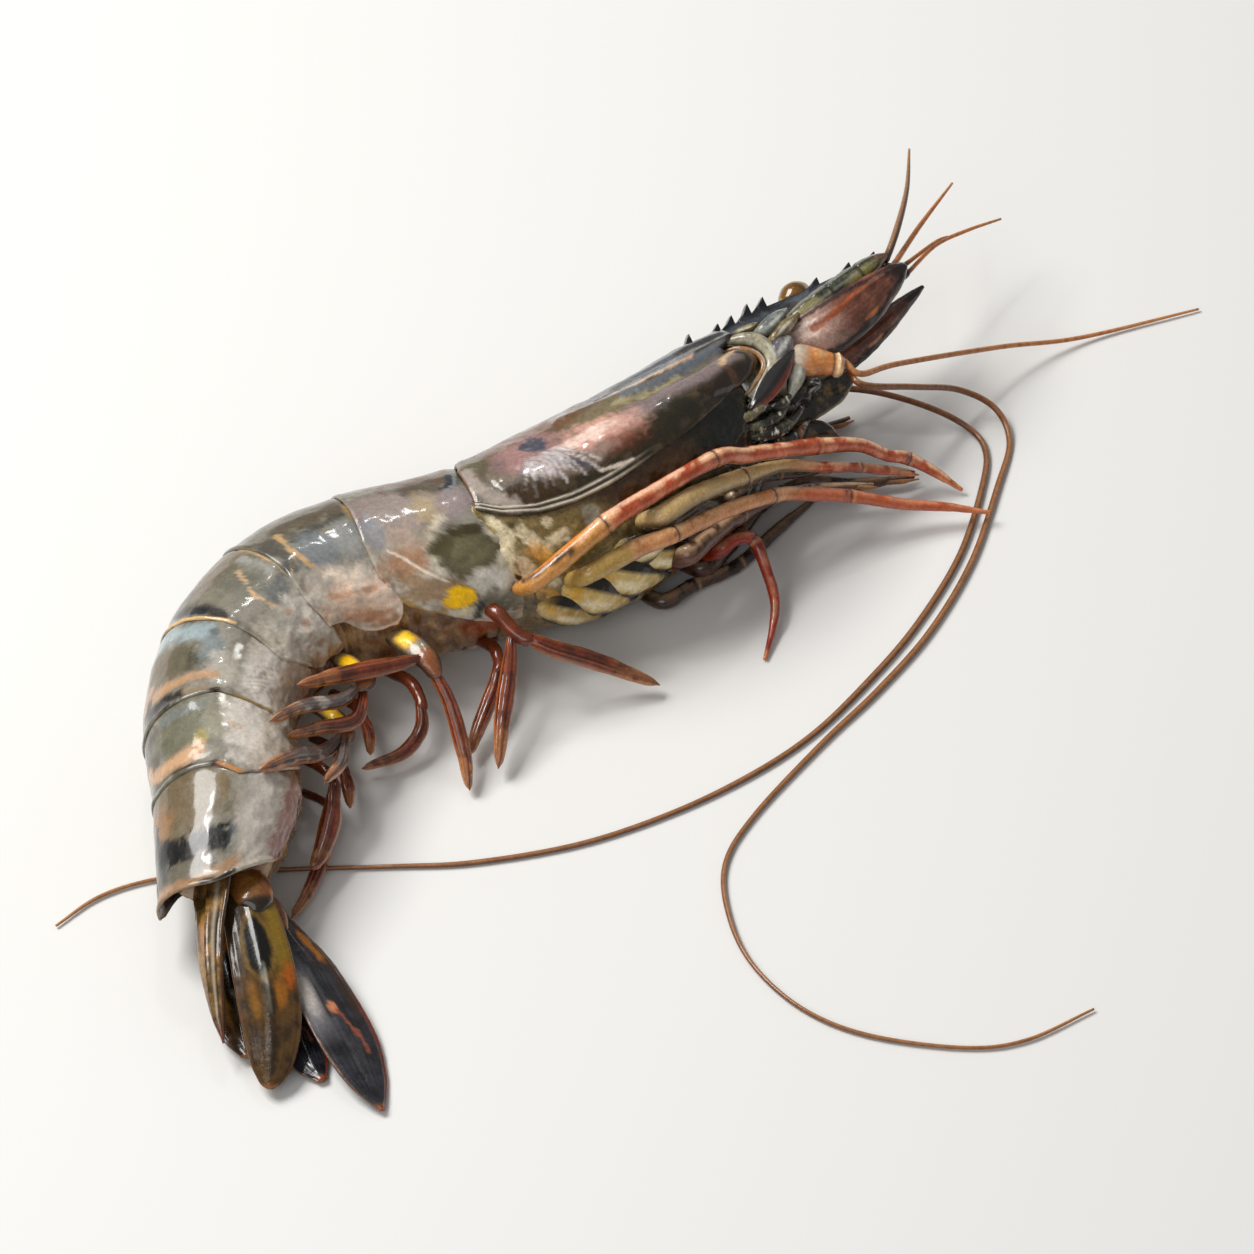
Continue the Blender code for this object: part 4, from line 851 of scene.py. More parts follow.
def tint_and_light_tail_blade(name, skin):
    reach = skin.first / skin.first.max()
    whole = skin.first.max()
    side = skin.second
    edge = smooth(0.9, 0.99, np.abs(side) + 0.04 * skin.middle)
    for k in range(-4, 5):
        rib = np.exp(-((side - k * 0.2) / 0.035) ** 2) * smooth(0.1, 0.3, reach) * (1 - smooth(0.85, 1, reach))
        skin.tint_and_light(rib, (96, 92, 94) if "outer" in name else (112, 78, 38), 0.25)
        skin.lift(rib, 0.1)
    midrib = np.exp(-(side / 0.12) ** 2) * (1 - smooth(0.8, 1, reach))
    skin.lift(midrib, 0.35)
    if name == "telson":
        skin.mottle((150, 112, 66), (58, 44, 26), 0.8)
        skin.tint_and_light(skin.spot(whole * 0.25, -0.6, 6, 1.6), (66, 50, 30), 0.8)
        skin.tint_and_light(skin.spot(whole * 0.55, -0.1, 4, 1.4), (70, 50, 30), 0.8)
        skin.tint_and_light(skin.spot(whole * 0.45, -0.3, 3, 2.2), (168, 112, 60), 0.7)
        # pale band along the right-hand ridge is painted highlight, and the dark line in the fold beside it is painted
        # shade
        skin.tint_and_light(np.exp(-((side - 0.5) / 0.14) ** 2), (176, 164, 144), 0.7)
        skin.tint_and_light(np.exp(-((side - 0.74) / 0.07) ** 2) * smooth(0.3, 0.45, reach), (18, 14, 10), 0.9)
        skin.tint_and_light(smooth(0.84, 1, reach), (96, 44, 22), 0.9)
        skin.tint_and_light(edge, (70, 44, 26), 0.8)
    elif "inner" in name:
        skin.mottle((84, 60, 28), (26, 18, 10), 0.6)
        skin.tint_and_light(smooth(0.3, 0.6, side) * (1 - smooth(0.42, 0.56, reach)), (122, 98, 36), 0.9)
        skin.tint_and_light(smooth(0.3, 0.6, -side) * (1 - smooth(0.4, 0.5, reach)), (30, 24, 14), 0.7)
        skin.tint_and_light(skin.spot(whole * 0.36, -0.06, 5.2, 5.6, 0, 0.12, 0.15), (126, 98, 46))
        skin.tint_and_light(skin.spot(whole * 0.36, -0.06, 4.7, 4.6, 0, 0.12, 0.15), (8, 7, 5))
        # pale line along the midrib: painted highlight
        skin.tint_and_light(skin.line([(whole * 0.45, -0.05), (whole * 0.58, -0.02), (whole * 0.66, 0)], 0.9, 0.3), (176, 172, 158), 0.8)
        skin.tint_and_light(skin.spot(whole * 0.58, 0.42, 3.0, 2.0, -10), (146, 92, 38), 0.8)
        skin.tint_and_light(skin.spot(whole * 0.6, -0.46, 3.4, 1.6, 10), (132, 90, 38), 0.75)
        skin.tint_and_light(skin.spot(whole * 0.5, 0.8, 2.0, 2.0), (160, 82, 34), 0.8)
        skin.tint_and_light(skin.line([(whole * 0.62, 0.04), (whole * 0.9, 0.02)], 3.6, 0.7), (34, 25, 14), 0.8)
        skin.tint_and_light(edge, (96, 66, 40), 0.8)
        skin.tint_and_light(smooth(0.97, 1, reach), (140, 84, 40), 0.8)
    else:
        skin.mottle((46, 48, 56), (10, 10, 13), 0.6)
        # grey upper inner half is painted sheen, and the pale soft spot on it is a painted highlight
        skin.tint_and_light(smooth(0.0, 0.7, -side) * smooth(0.16, 0.3, reach) * (1 - smooth(0.5, 0.7, reach)), (132, 130, 134), 0.7)
        skin.tint_and_light(skin.spot(whole * 0.4, -0.65, 4.0, 2.2, 0, 0.3, 0.6), (206, 196, 188), 0.7)
        for place in (-3.4, -1.6, 0.4, 2.2):
            skin.tint_and_light(skin.line([(whole * 0.22, place * 0.06), (whole * 0.62, place * 0.1)], 0.5, 0.4), (16, 16, 20), 0.8)
        skin.tint_and_light(smooth(0.45, 0.65, side) * (1 - smooth(0.5, 0.62, reach)), (52, 34, 24), 0.9)
        skin.tint_and_light(skin.spot(whole * 0.2, 0.6, 3.0, 1.8), (150, 94, 42), 0.9)
        skin.tint_and_light(skin.line([(whole * 0.5, -0.1), (whole * 0.58, 0.16), (whole * 0.7, 0.44)], 1.1, 1.2), (150, 84, 62), 0.8)
        skin.tint_and_light(skin.spot(whole * 0.5, -0.1, 0.8, 1.2), (196, 132, 96), 0.85)
        skin.tint_and_light(smooth(0.8, 0.92, side + 0.1 * skin.middle) * smooth(0.42, 0.52, reach), (112, 48, 32), 0.85)
        skin.tint_and_light(edge * (side < 0), (112, 84, 68), 0.7)
        skin.tint_and_light(edge * (side > 0) * (1 - smooth(0.35, 0.5, reach)), (140, 130, 120), 0.8)
        skin.tint_and_light(smooth(0.96, 1, reach), (140, 78, 46), 0.9)
    skin.lift(edge, 0.12)
    skin.lift(skin.middle, 0.04)


for name, (route, face, thickness, cup) in TAIL.items():
    base = {"telson": (104, 80, 48), "uropod_inner_right": (70, 50, 26), "uropod_inner_left": (44, 26, 16)}
    skin = blade_piece(name, [route], face, thickness, TAIL_SHELL, "tail_fan", base.get(name, (30, 30, 36)),
                       [name], cup, 0, 64)
    tint_and_light_tail_blade(name, skin)
    skin.finish()


# Rods: legs, eye stalks, feeler bases and feelers are all rounded rods that swell at their joints.
def rod_rows(route, joints=(), sides=16, spacing=0.3, flat=1.0, swell=0.09):
    """Rows of a round rod along (x, y, z, radius), with a knuckle at each joint's route step."""
    places, lengths = spine_line(route, spacing)
    knuckles = [lengths[round(step / (len(route) - 1) * (len(places) - 1))] for step in joints]
    rows = []
    for k, (x, y, z, radius) in enumerate(places):
        before, after = places[max(k - 1, 0)], places[min(k + 1, len(places) - 1)]
        along = (Vector(after[:3]) - Vector(before[:3])).normalized()
        level = along.cross(Vector((0, 0, 1))).normalized()
        upward = level.cross(along).normalized()
        size = max(radius, 0.06)
        for knuckle in knuckles:
            size *= 1 + swell * math.exp(-((lengths[k] - knuckle) / (1.1 * radius)) ** 2)
            size *= 1 - 0.14 * math.exp(-((lengths[k] - knuckle) / 0.16) ** 2)
        row = []
        for i in range(sides):
            angle = math.tau * i / sides
            point = Vector((x, y, z)) + upward * size * math.cos(angle) * flat + level * size * math.sin(angle)
            row.append((point, lengths[k], math.degrees(angle) if angle < math.pi else math.degrees(angle) - 360))
        rows.append(row)
    return rows, knuckles


def on_rod(first, second):
    """Millimetres along a rod and round it from its top."""
    return first, np.radians(np.asarray(second)) * 1.3


def rod_piece(name, rods, surface, slot, base, replaced=()):
    """Piece of one or more rods; each next rod's lengths start from a hundred further."""
    shells = [[[(point, length + 100 * number, turn) for point, length, turn in row] for row in rows]
              for number, rows in enumerate(rods)]
    return Skin(add_piece(name, sweep(*shells), surface, slot, *replaced), on_rod, base)


# Shoulder of the tail fan: the rounded orange joint piece that carries the right inner blade, and
# smaller knuckles that join the other blades to the last ring. All are soft shell over muscle.
SHOULDER_SHELL = wet("shoulder_shell", 0.25, 0.8, 0.1)
rows, _ = rod_rows([(-87.4, 24.0, 10.2, 1.6), (-86.8, 21.6, 11.0, 3.1), (-87.2, 18.6, 11.4, 3.3), (-88.2, 15.8, 11.6, 2.7),
                    (-89.0, 14.2, 11.6, 0.8)], (), 24, 0.3, 0.62)
KNUCKLES = [
    [(-86.4, 22.4, 8.8, 1.4), (-85.6, 19.0, 8.2, 1.9), (-85.2, 15.6, 7.1, 1.9), (-85.6, 12.6, 6.4, 0.8)],
    [(-88.4, 22.0, 7.4, 1.4), (-90.6, 19.8, 5.8, 1.8), (-93.0, 17.0, 4.3, 1.4), (-94.0, 15.4, 4.0, 0.6)],
    [(-86.8, 21.6, 6.4, 1.4), (-88.2, 18.4, 4.6, 1.7), (-89.4, 15.4, 2.9, 1.3), (-89.9, 13.4, 2.5, 0.6)],
]
knuckle_rows = [rod_rows(route, (), 24, 0.3, 0.8)[0] for route in KNUCKLES]
skin = rod_piece("tail_shoulder", [rows, *knuckle_rows], SHOULDER_SHELL, "tail_fan", (132, 80, 44))
skin.mottle((186, 122, 66), (96, 54, 26), 0.6)
skin.tint_and_light(smooth(0.0, 1.0, (skin.second + 60) / 60) * smooth(-140, -60, skin.second), (128, 96, 52), 0.4)
skin.tint_and_light(smooth(8.2, 9.2, skin.first) * (skin.first < 100), (36, 27, 17))
skin.finish()


# Front of the head: soft grey cream folds round the eye's socket, between the shield and the
# feelers' roots. It is flesh and thin shell; the folds' dark edges are painted shade in the creases, and a pale spot on
# each fold is a painted highlight.
HEAD_FLESH = wet("head_flesh", 0.22, 0.8, 0.1, 0.3, 0.5)


def turned_rows(profile, centre_back, centre_right, crease=0.0, sides=48):
    """Rounded body along the head's axis from (forward, half height, half width)."""
    count = 40
    rows = []
    for k in range(count + 1):
        forward, height, width = blend(profile, (len(profile) - 1) * k / count)
        row = []
        for i in range(sides):
            angle = math.tau * i / sides
            fold = 1 + crease * math.sin(forward * 2.1 + 2.2 * math.sin(angle * 2))
            point = head_point(forward, centre_back + max(height, 0.1) * fold * math.cos(angle),
                               centre_right + max(width, 0.1) * fold * math.sin(angle))
            row.append((point, forward, math.degrees(angle)))
        rows.append(row)
    return rows


def on_turned(first, second):
    return np.asarray(first), np.radians(second) * 4.5


made = add_piece("head_front", sweep(turned_rows([(-6.6, 3.0, 3.4), (-5.4, 5.6, 6.0), (-2.5, 5.6, 6.4), (1.0, 4.9, 5.2),
                                                  (3.4, 3.2, 3.2), (4.4, 0.6, 0.6)], -0.2, 1.2, 0.05)),
                 HEAD_FLESH, "head_front", "head_front")
skin = Skin(made, on_turned, (128, 118, 92))
skin.mottle((196, 182, 146), (34, 36, 30), 0.9)
skin.lift(skin.middle, 0.35)
skin.finish()

HEAD_RIGHT = HEAD[3]
# Each fold: its route and colour
FOLDS = [
    ([(-8.8, 7.0, 5.4, 0.3), (-7.1, 6.4, 6.4, 0.9), (-5.0, 4.9, 7.7, 1.3), (-4.2, 2.4, 8.6, 1.4), (-5.2, 0.0, 9.1, 1.3),
      (-8.0, -1.4, 9.4, 1.1), (-11.4, -2.0, 9.6, 0.3)], (164, 157, 134)),
    ([(-9.6, 5.9, 6.4, 0.15), (-7.6, 5.0, 7.6, 0.4), (-6.1, 2.9, 8.8, 0.5), (-6.6, 0.7, 9.5, 0.5), (-9.6, -0.9, 9.9, 0.4),
      (-12.0, -1.6, 9.8, 0.15)], (150, 110, 72)),
    ([(-4.8, 0.2, 8.0, 0.5), (-3.4, 1.1, 8.9, 1.6), (-1.5, 1.8, 8.6, 1.7), (0.4, 2.5, 7.0, 0.6)], (104, 99, 106)),
    ([(-4.2, 5.6, 5.8, 0.3), (-2.7, 5.4, 7.0, 1.1), (-0.8, 5.5, 7.1, 1.4), (1.3, 5.9, 6.3, 1.1), (3.6, 6.3, 5.0, 0.3)],
     (106, 112, 112)),
    ([(-3.4, 3.3, 7.6, 0.4), (-1.6, 3.6, 8.2, 1.0), (0.9, 4.2, 7.6, 1.1), (4.2, 4.7, 6.2, 0.4)], (120, 100, 60)),
    ([(-6.6, 7.4, 4.8, 0.2), (-5.0, 7.1, 5.8, 0.6), (-3.4, 6.8, 6.2, 0.6), (-2.2, 6.9, 5.8, 0.2)], (112, 92, 46)),
    ([(-0.2, -0.4, 7.2, 0.4), (-1.5, -2.1, 8.5, 1.5), (-3.2, -3.7, 8.8, 1.3), (-5.8, -5.8, 8.6, 0.3)], (150, 148, 138)),
]
for number, (route, colour) in enumerate(FOLDS, start=1):
    skin = blade_piece(f"socket_fold_{number}", [head_route(*route)], HEAD_RIGHT, 2.4, HEAD_FLESH, "head_front", colour)
    skin.tint_and_light(smooth(0.1, 0.5, skin.middle), (196, 192, 172), 0.35)
    skin.tint_and_light(smooth(0.1, 0.5, -skin.middle), (58, 56, 48), 0.45)
    # dark edges: painted shade in the creases between folds
    skin.tint_and_light(smooth(0.75, 0.95, np.abs(skin.second)), (34, 32, 26), 0.8)
    # pale spot at each fold's middle: painted highlight
    skin.tint_and_light(skin.spot(skin.first.max() * 0.5, 0.1, 1.8, 2.2, 0, 0.6, 0.6), (222, 222, 212), 0.6)
    skin.lift(skin.middle, 0.06)
    skin.finish()


# Mouth region: black green, knobbly and glistening, with small bristly feet folded over it, a dark
# cheek plate with a thin bright edge, and the two broad jaw legs that reach forward below.
MOUTH_SHELL = wet("mouth_shell", 0.18, 1.0, 0.0, 0.4, 0.5, 0.25)
made = add_piece("mouthparts", sweep(turned_rows([(-18.0, 3.0, 4.0), (-16.0, 4.9, 8.4), (-12.0, 5.2, 8.4), (-8.6, 4.6, 7.6),
                                                  (-6.0, 3.4, 6.4), (-2.0, 2.6, 5.6),
                                                  (2.0, 1.6, 4.0), (3.4, 0.3, 0.6)], -5.9, 0.4, 0.08)),
                 MOUTH_SHELL, "mouthparts", "mouthparts")
skin = Skin(made, on_turned, (26, 27, 21))
skin.mottle((66, 70, 52), (10, 11, 9), 0.9)
# white specks: painted glints
skin.tint_and_light(smooth(0.42, 0.55, skin.fine), (214, 214, 206), 0.9)
skin.lift(skin.middle, 0.7)
skin.lift(skin.fine, 0.15)
skin.finish()

MOUTH_FEET = [
    ((-15.5, -3.4, 9.6, 0.5), (-13.2, -4.6, 9.9, 0.8), (-10.2, -4.4, 9.9, 0.7), (-8.4, -3.6, 9.7, 0.3)),
    ((-14.8, -5.6, 9.4, 0.6), (-12.2, -6.6, 9.5, 0.9), (-9.0, -6.9, 9.2, 0.8), (-6.0, -6.2, 8.6, 0.3)),
    ((-14.0, -7.6, 8.8, 0.7), (-10.8, -8.6, 8.8, 1.1), (-7.2, -8.6, 8.0, 0.9), (-3.6, -7.6, 7.0, 0.4)),
    ((-13.4, -9.6, 7.6, 0.7), (-9.6, -10.8, 7.4, 1.2), (-6.0, -10.6, 6.2, 0.9), (-3.0, -9.8, 5.0, 0.3)),
    ((-9.4, -4.6, 9.4, 0.5), (-7.6, -5.6, 9.4, 0.8), (-5.8, -5.4, 9.0, 0.6), (-4.6, -4.8, 8.6, 0.3)),
    ((-12.0, -2.6, 9.9, 0.4), (-9.8, -3.0, 10.1, 0.55), (-7.8, -2.8, 10.0, 0.3)),
]
rods = [rod_rows(head_route(*foot), (1, 2), 14, 0.2)[0] for foot in MOUTH_FEET]
skin = rod_piece("mouth_feet", rods, MOUTH_SHELL, "mouthparts", (32, 32, 26))
skin.mottle((92, 92, 72), (12, 12, 10), 0.8)
# white specks: painted glints
skin.tint_and_light(smooth(0.44, 0.56, skin.fine), (224, 222, 210), 0.9)
skin.tint_and_light(np.floor(skin.first / 100) == 0, (150, 140, 108), 0.5)
skin.tint_and_light((np.floor(skin.first / 100) == 3) * smooth(0, 0.4, skin.middle), (170, 104, 50), 0.6)
skin.lift(skin.middle, 0.15)
skin.finish()

skin = blade_piece("cheek_plate", [head_route((-12.6, -3.8, 10.0, 0.4), (-9.6, -3.0, 10.5, 1.5), (-6.4, -1.8, 10.5, 1.8),
                                              (-3.2, -0.6, 10.0, 1.2), (-0.7, 0.4, 9.0, 0.2))], HEAD_RIGHT, 0.9, MOUTH_SHELL,
                   "mouthparts", (26, 22, 24), ["cheek_plate"], 0.1)
skin.tint_and_light(smooth(0.3, 0.5, -skin.second), (122, 52, 34), 0.9)
skin.tint_and_light(smooth(0.88, 0.96, skin.second), (190, 176, 150), 0.9)
skin.tint_and_light(smooth(0.86, 0.96, -skin.second), (150, 60, 36), 0.9)
skin.lift(np.exp(-(skin.second / 0.3) ** 2), 0.2)
skin.finish()
JAW_LEGS = {
    "right": ([(-6.0, -8.4, 2.2, 1.4), (-1.0, -8.0, 2.8, 2.3), (4.5, -7.7, 2.6, 2.3), (9.2, -7.4, 2.0, 0.3)], 1.0),
    "left": ([(-7.4, -11.2, 4.2, 1.2), (-4.6, -11.2, 4.2, 1.8), (-1.8, -12.0, 4.2, 1.5), (0.1, -14.3, 4.2, 0.2)], 1.8),
}
for side, (route, thickness) in JAW_LEGS.items():
    skin = blade_piece(f"jaw_leg_{side}", [head_route(*route)], HEAD_RIGHT, thickness, MOUTH_SHELL, "mouthparts",
                       (38, 37, 30), [f"jaw_leg_{side}"], 0.1)
    skin.mottle((112, 92, 62), (22, 18, 13), 0.8)
    skin.tint_and_light(smooth(0.8, 0.94, np.abs(skin.second)), (150, 128, 92), 0.7)
    skin.lift(skin.middle, 0.1)
    skin.finish()


# Eyes: glossy gold brown balls on short dark stalks. The far one stands above the rostrum's edge
# and the near one is tucked between the folds of its socket.
EYE_GLASS = wet("eye_glass", 0.08, 1.0, 0.0, 0.3, 0.25, 0.02)
EYES = {
    "right": [(-3.4, 4.4, 5.0, 0.9), (-2.4, 4.8, 5.4, 1.2), (-1.4, 5.0, 5.7, 1.6), (-0.4, 5.1, 5.7, 1.6), (0.6, 5.2, 5.5, 1.0),
              (1.1, 5.2, 5.4, 0.1)],
    "left": [(3.5, 4.6, -4.6, 1.0), (6.4, 5.6, -4.9, 1.1), (8.0, 6.3, -5.1, 1.5), (9.0, 6.9, -5.2, 2.2),
             (10.2, 7.4, -5.3, 2.5), (11.4, 7.9, -5.5, 2.1), (12.4, 8.3, -5.6, 1.2), (12.9, 8.6, -5.7, 0.1)],
}
for side, route in EYES.items():
    rows, _ = rod_rows(head_route(*route), (), 32, 0.15)
    skin = rod_piece(f"eye_{side}", [rows], EYE_GLASS, "eyes", (112, 78, 34), [f"eye_{side}"])
    reach = skin.first / skin.first.max()
    ball = smooth(0.38, 0.46, reach)
    skin.tint_and_light(1 - ball, (38, 32, 24))
    skin.tint_and_light(ball * smooth(0, 0.5, skin.middle), (170, 132, 66), 0.7)
    skin.tint_and_light(np.exp(-((reach - 0.46) / 0.035) ** 2), (18, 14, 10))
    skin.tint_and_light(ball * np.exp(-((reach - 0.8) / 0.1) ** 2), (66, 40, 20), 0.6)
    skin.tint_and_light(ball, (58, 60, 58), 0.8 if side == "right" else 0)
    skin.finish()


# Feeler stalks, scales and bases: the green grey upper stalks under the rostrum, the wide mauve and
# red brown scales beside them, and the thick orange roots of the long feelers.
STALK_SHELL = wet("stalk_shell", 0.22, 0.9, 0.04, 0.3, 0.5, 0.1)
STALKS = {
    "right": [(2.8, 4.2, 3.6, 1.2), (6.0, 4.4, 4.2, 1.8), (10.0, 4.6, 4.2, 2.0), (14.0, 4.9, 4.0, 1.9), (18.0, 5.2, 3.6, 1.7),
              (21.0, 5.4, 3.0, 1.3), (23.4, 5.4, 2.6, 0.5)],
    "left": [(3.8, 1.6, -2.2, 1.5), (12.5, 1.5, -2.4, 1.4), (19.5, 2.0, -2.4, 1.2), (26.8, 2.4, -2.4, 0.5)],
}
for side, route in STALKS.items():
    skin = blade_piece(f"feeler_stalk_{side}", [head_route(*route)], HEAD_RIGHT, 2.6, STALK_SHELL, "feeler_stalks",
                       (66, 68, 54), [f"feeler_stalk_upper_{side}"], 0.05)
    reach = skin.first / skin.first.max()
    skin.mottle((112, 112, 92), (26, 27, 24), 0.8)
    skin.tint_and_light(skin.spot(skin.first.max() * 0.14, 0.2, 3.0, 5, 0, 0.5), (160, 150, 104), 0.8)
    skin.tint_and_light(skin.spot(skin.first.max() * 0.7, 0, 3.0, 4.5, 0, 0.6), (136, 128, 72), 0.85)
    skin.tint_and_light(smooth(0.5, 0.75, skin.second), (24, 26, 28), 0.9)
    skin.tint_and_light(np.exp(-((skin.second - 0.88) / 0.07) ** 2), (176, 174, 156), 0.7)
    skin.tint_and_light(np.exp(-((skin.second - 0.2) / 0.1) ** 2), (150, 152, 140), 0.5)
    skin.tint_and_light(smooth(0.8, 1, reach), (120, 70, 40), 0.8)
    for place in (0.42, 0.7):
        skin.tint_and_light(np.exp(-((reach - place) / 0.015) ** 2), (24, 22, 18), 0.9)
        skin.lift(np.exp(-((reach - place) / 0.02) ** 2), -0.15)
    skin.lift(skin.middle, 0.1)
    skin.finish()

SCALES = {
    "right": [(0.4, 2.0, 5.6, 1.4), (1.8, 1.5, 6.1, 2.6), (4.2, 1.0, 6.3, 3.4), (8.0, 0.5, 6.3, 4.0), (14.0, 0.9, 6.0, 3.7),
              (19.0, 1.7, 5.6, 2.7), (22.2, 2.2, 5.2, 1.8), (24.2, 2.5, 5.0, 0.5)],
    "left": [(0.4, -1.6, -4.9, 1.2), (8.0, -3.6, -4.9, 3.0), (16.0, -3.6, -4.9, 2.6), (24.0, -2.4, -4.6, 1.4),
             (29.0, -1.5, -4.4, 0.3)],
}
for side, route in SCALES.items():
    skin = blade_piece(f"feeler_scale_{side}", [head_route(*route)], HEAD_RIGHT, 1.3, STALK_SHELL, "feeler_scales",
                       (110, 68, 54), [f"feeler_scale_{side}"], 0.16, 0, 72)
    reach, across = skin.first / skin.first.max(), skin.second
    whole = skin.first.max()
    skin.mottle((146, 96, 76), (72, 42, 34), 0.4)
    ribs = smooth(0.1, 1, np.cos(across * math.tau * 5 + 0.8 * skin.middle)) * smooth(0.2, 0.45, reach)
    skin.tint_and_light(ribs, (58, 34, 30), 0.45)
    skin.tint_and_light(1 - smooth(0.18, 0.48, reach + 0.06 * skin.middle), (190, 160, 148), 0.95 if side == "right" else 0.3)
    skin.tint_and_light(skin.spot(whole * 0.12, 0.2, 2.4, 5, 0, 0.5), (224, 202, 190), 0.8 if side == "right" else 0.2)
    skin.tint_and_light(skin.line([(whole * 0.2, 0.22), (whole * 0.4, 0.42), (whole * 0.62, 0.56)], 2.0, 0.8), (160, 84, 48), 0.8)
    skin.tint_and_light(skin.line([(whole * 0.14, 0.88), (whole * 0.5, 0.88), (whole * 0.84, 0.7)], 1.8, 0.5), (40, 32, 32), 0.85)
    skin.tint_and_light(skin.line([(whole * 0.3, -0.92), (whole * 0.62, -0.82), (whole * 0.94, -0.5)], 3.4, 0.5), (18, 14, 14), 0.95)
    skin.tint_and_light(skin.spot(whole * 0.6, -0.56, 1.3, 1.0), (196, 122, 76), 0.8)
    skin.tint_and_light(smooth(0.8, 0.92, reach + 0.06 * skin.middle + 0.05 * skin.fine), (24, 18, 16), 0.95)
    skin.lift(np.exp(-((across - 0.45) / 0.1) ** 2) * (1 - smooth(0.8, 1, reach)), 0.3)
    skin.lift(np.exp(-((across + 0.2) / 0.3) ** 2) * (1 - smooth(0.7, 1, reach)), 0.25)
    skin.lift(skin.middle, 0.1)
    skin.finish()

BASES = {
    "right": [(-2.0, 0.2, 7.2, 1.2), (-0.6, -1.0, 7.8, 2.3), (1.0, -2.4, 8.1, 2.3), (2.6, -3.6, 8.1, 2.0),
              (3.9, -4.6, 8.2, 1.75), (4.4, -5.0, 8.2, 1.95), (5.0, -5.4, 8.2, 1.5), (5.4, -5.7, 8.2, 0.6)],
    "left": [(-0.2, -3.2, -7.6, 1.9), (2.4, -4.4, -7.6, 2.3), (4.4, -5.2, -7.6, 1.8), (5.4, -5.6, -7.6, 1.9),
             (6.4, -6.0, -7.6, 1.2)],
}
BASE_SHELL = wet("feeler_base_shell", 0.2, 0.9, 0.15, 0.2, 0.5, 0.1)
for side, route in BASES.items():
    rows, _ = rod_rows(head_route(*route), (), 32, 0.18)
    skin = rod_piece(f"feeler_base_{side}", [rows], BASE_SHELL, "feeler_bases", (216, 146, 90), [f"feeler_base_{side}"])
    reach = skin.first / skin.first.max()
    skin.mottle((234, 196, 150), (160, 100, 60), 0.6)
    skin.tint_and_light(1 - smooth(0.2, 0.42, reach + 0.06 * skin.middle), (192, 182, 166), 0.85)
    skin.tint_and_light(smooth(60, 120, np.abs(skin.second)), (176, 112, 58), 0.7)
    skin.tint_and_light(np.exp(-((reach - 0.78) / 0.02) ** 2), (96, 54, 30), 0.9)
    skin.tint_and_light(np.exp(-((reach - 0.85) / 0.035) ** 2), (238, 214, 176), 0.9)
    skin.tint_and_light(smooth(0.91, 0.95, reach), (60, 36, 24), 0.9)
    skin.lift(skin.middle, 0.1)
    skin.finish()


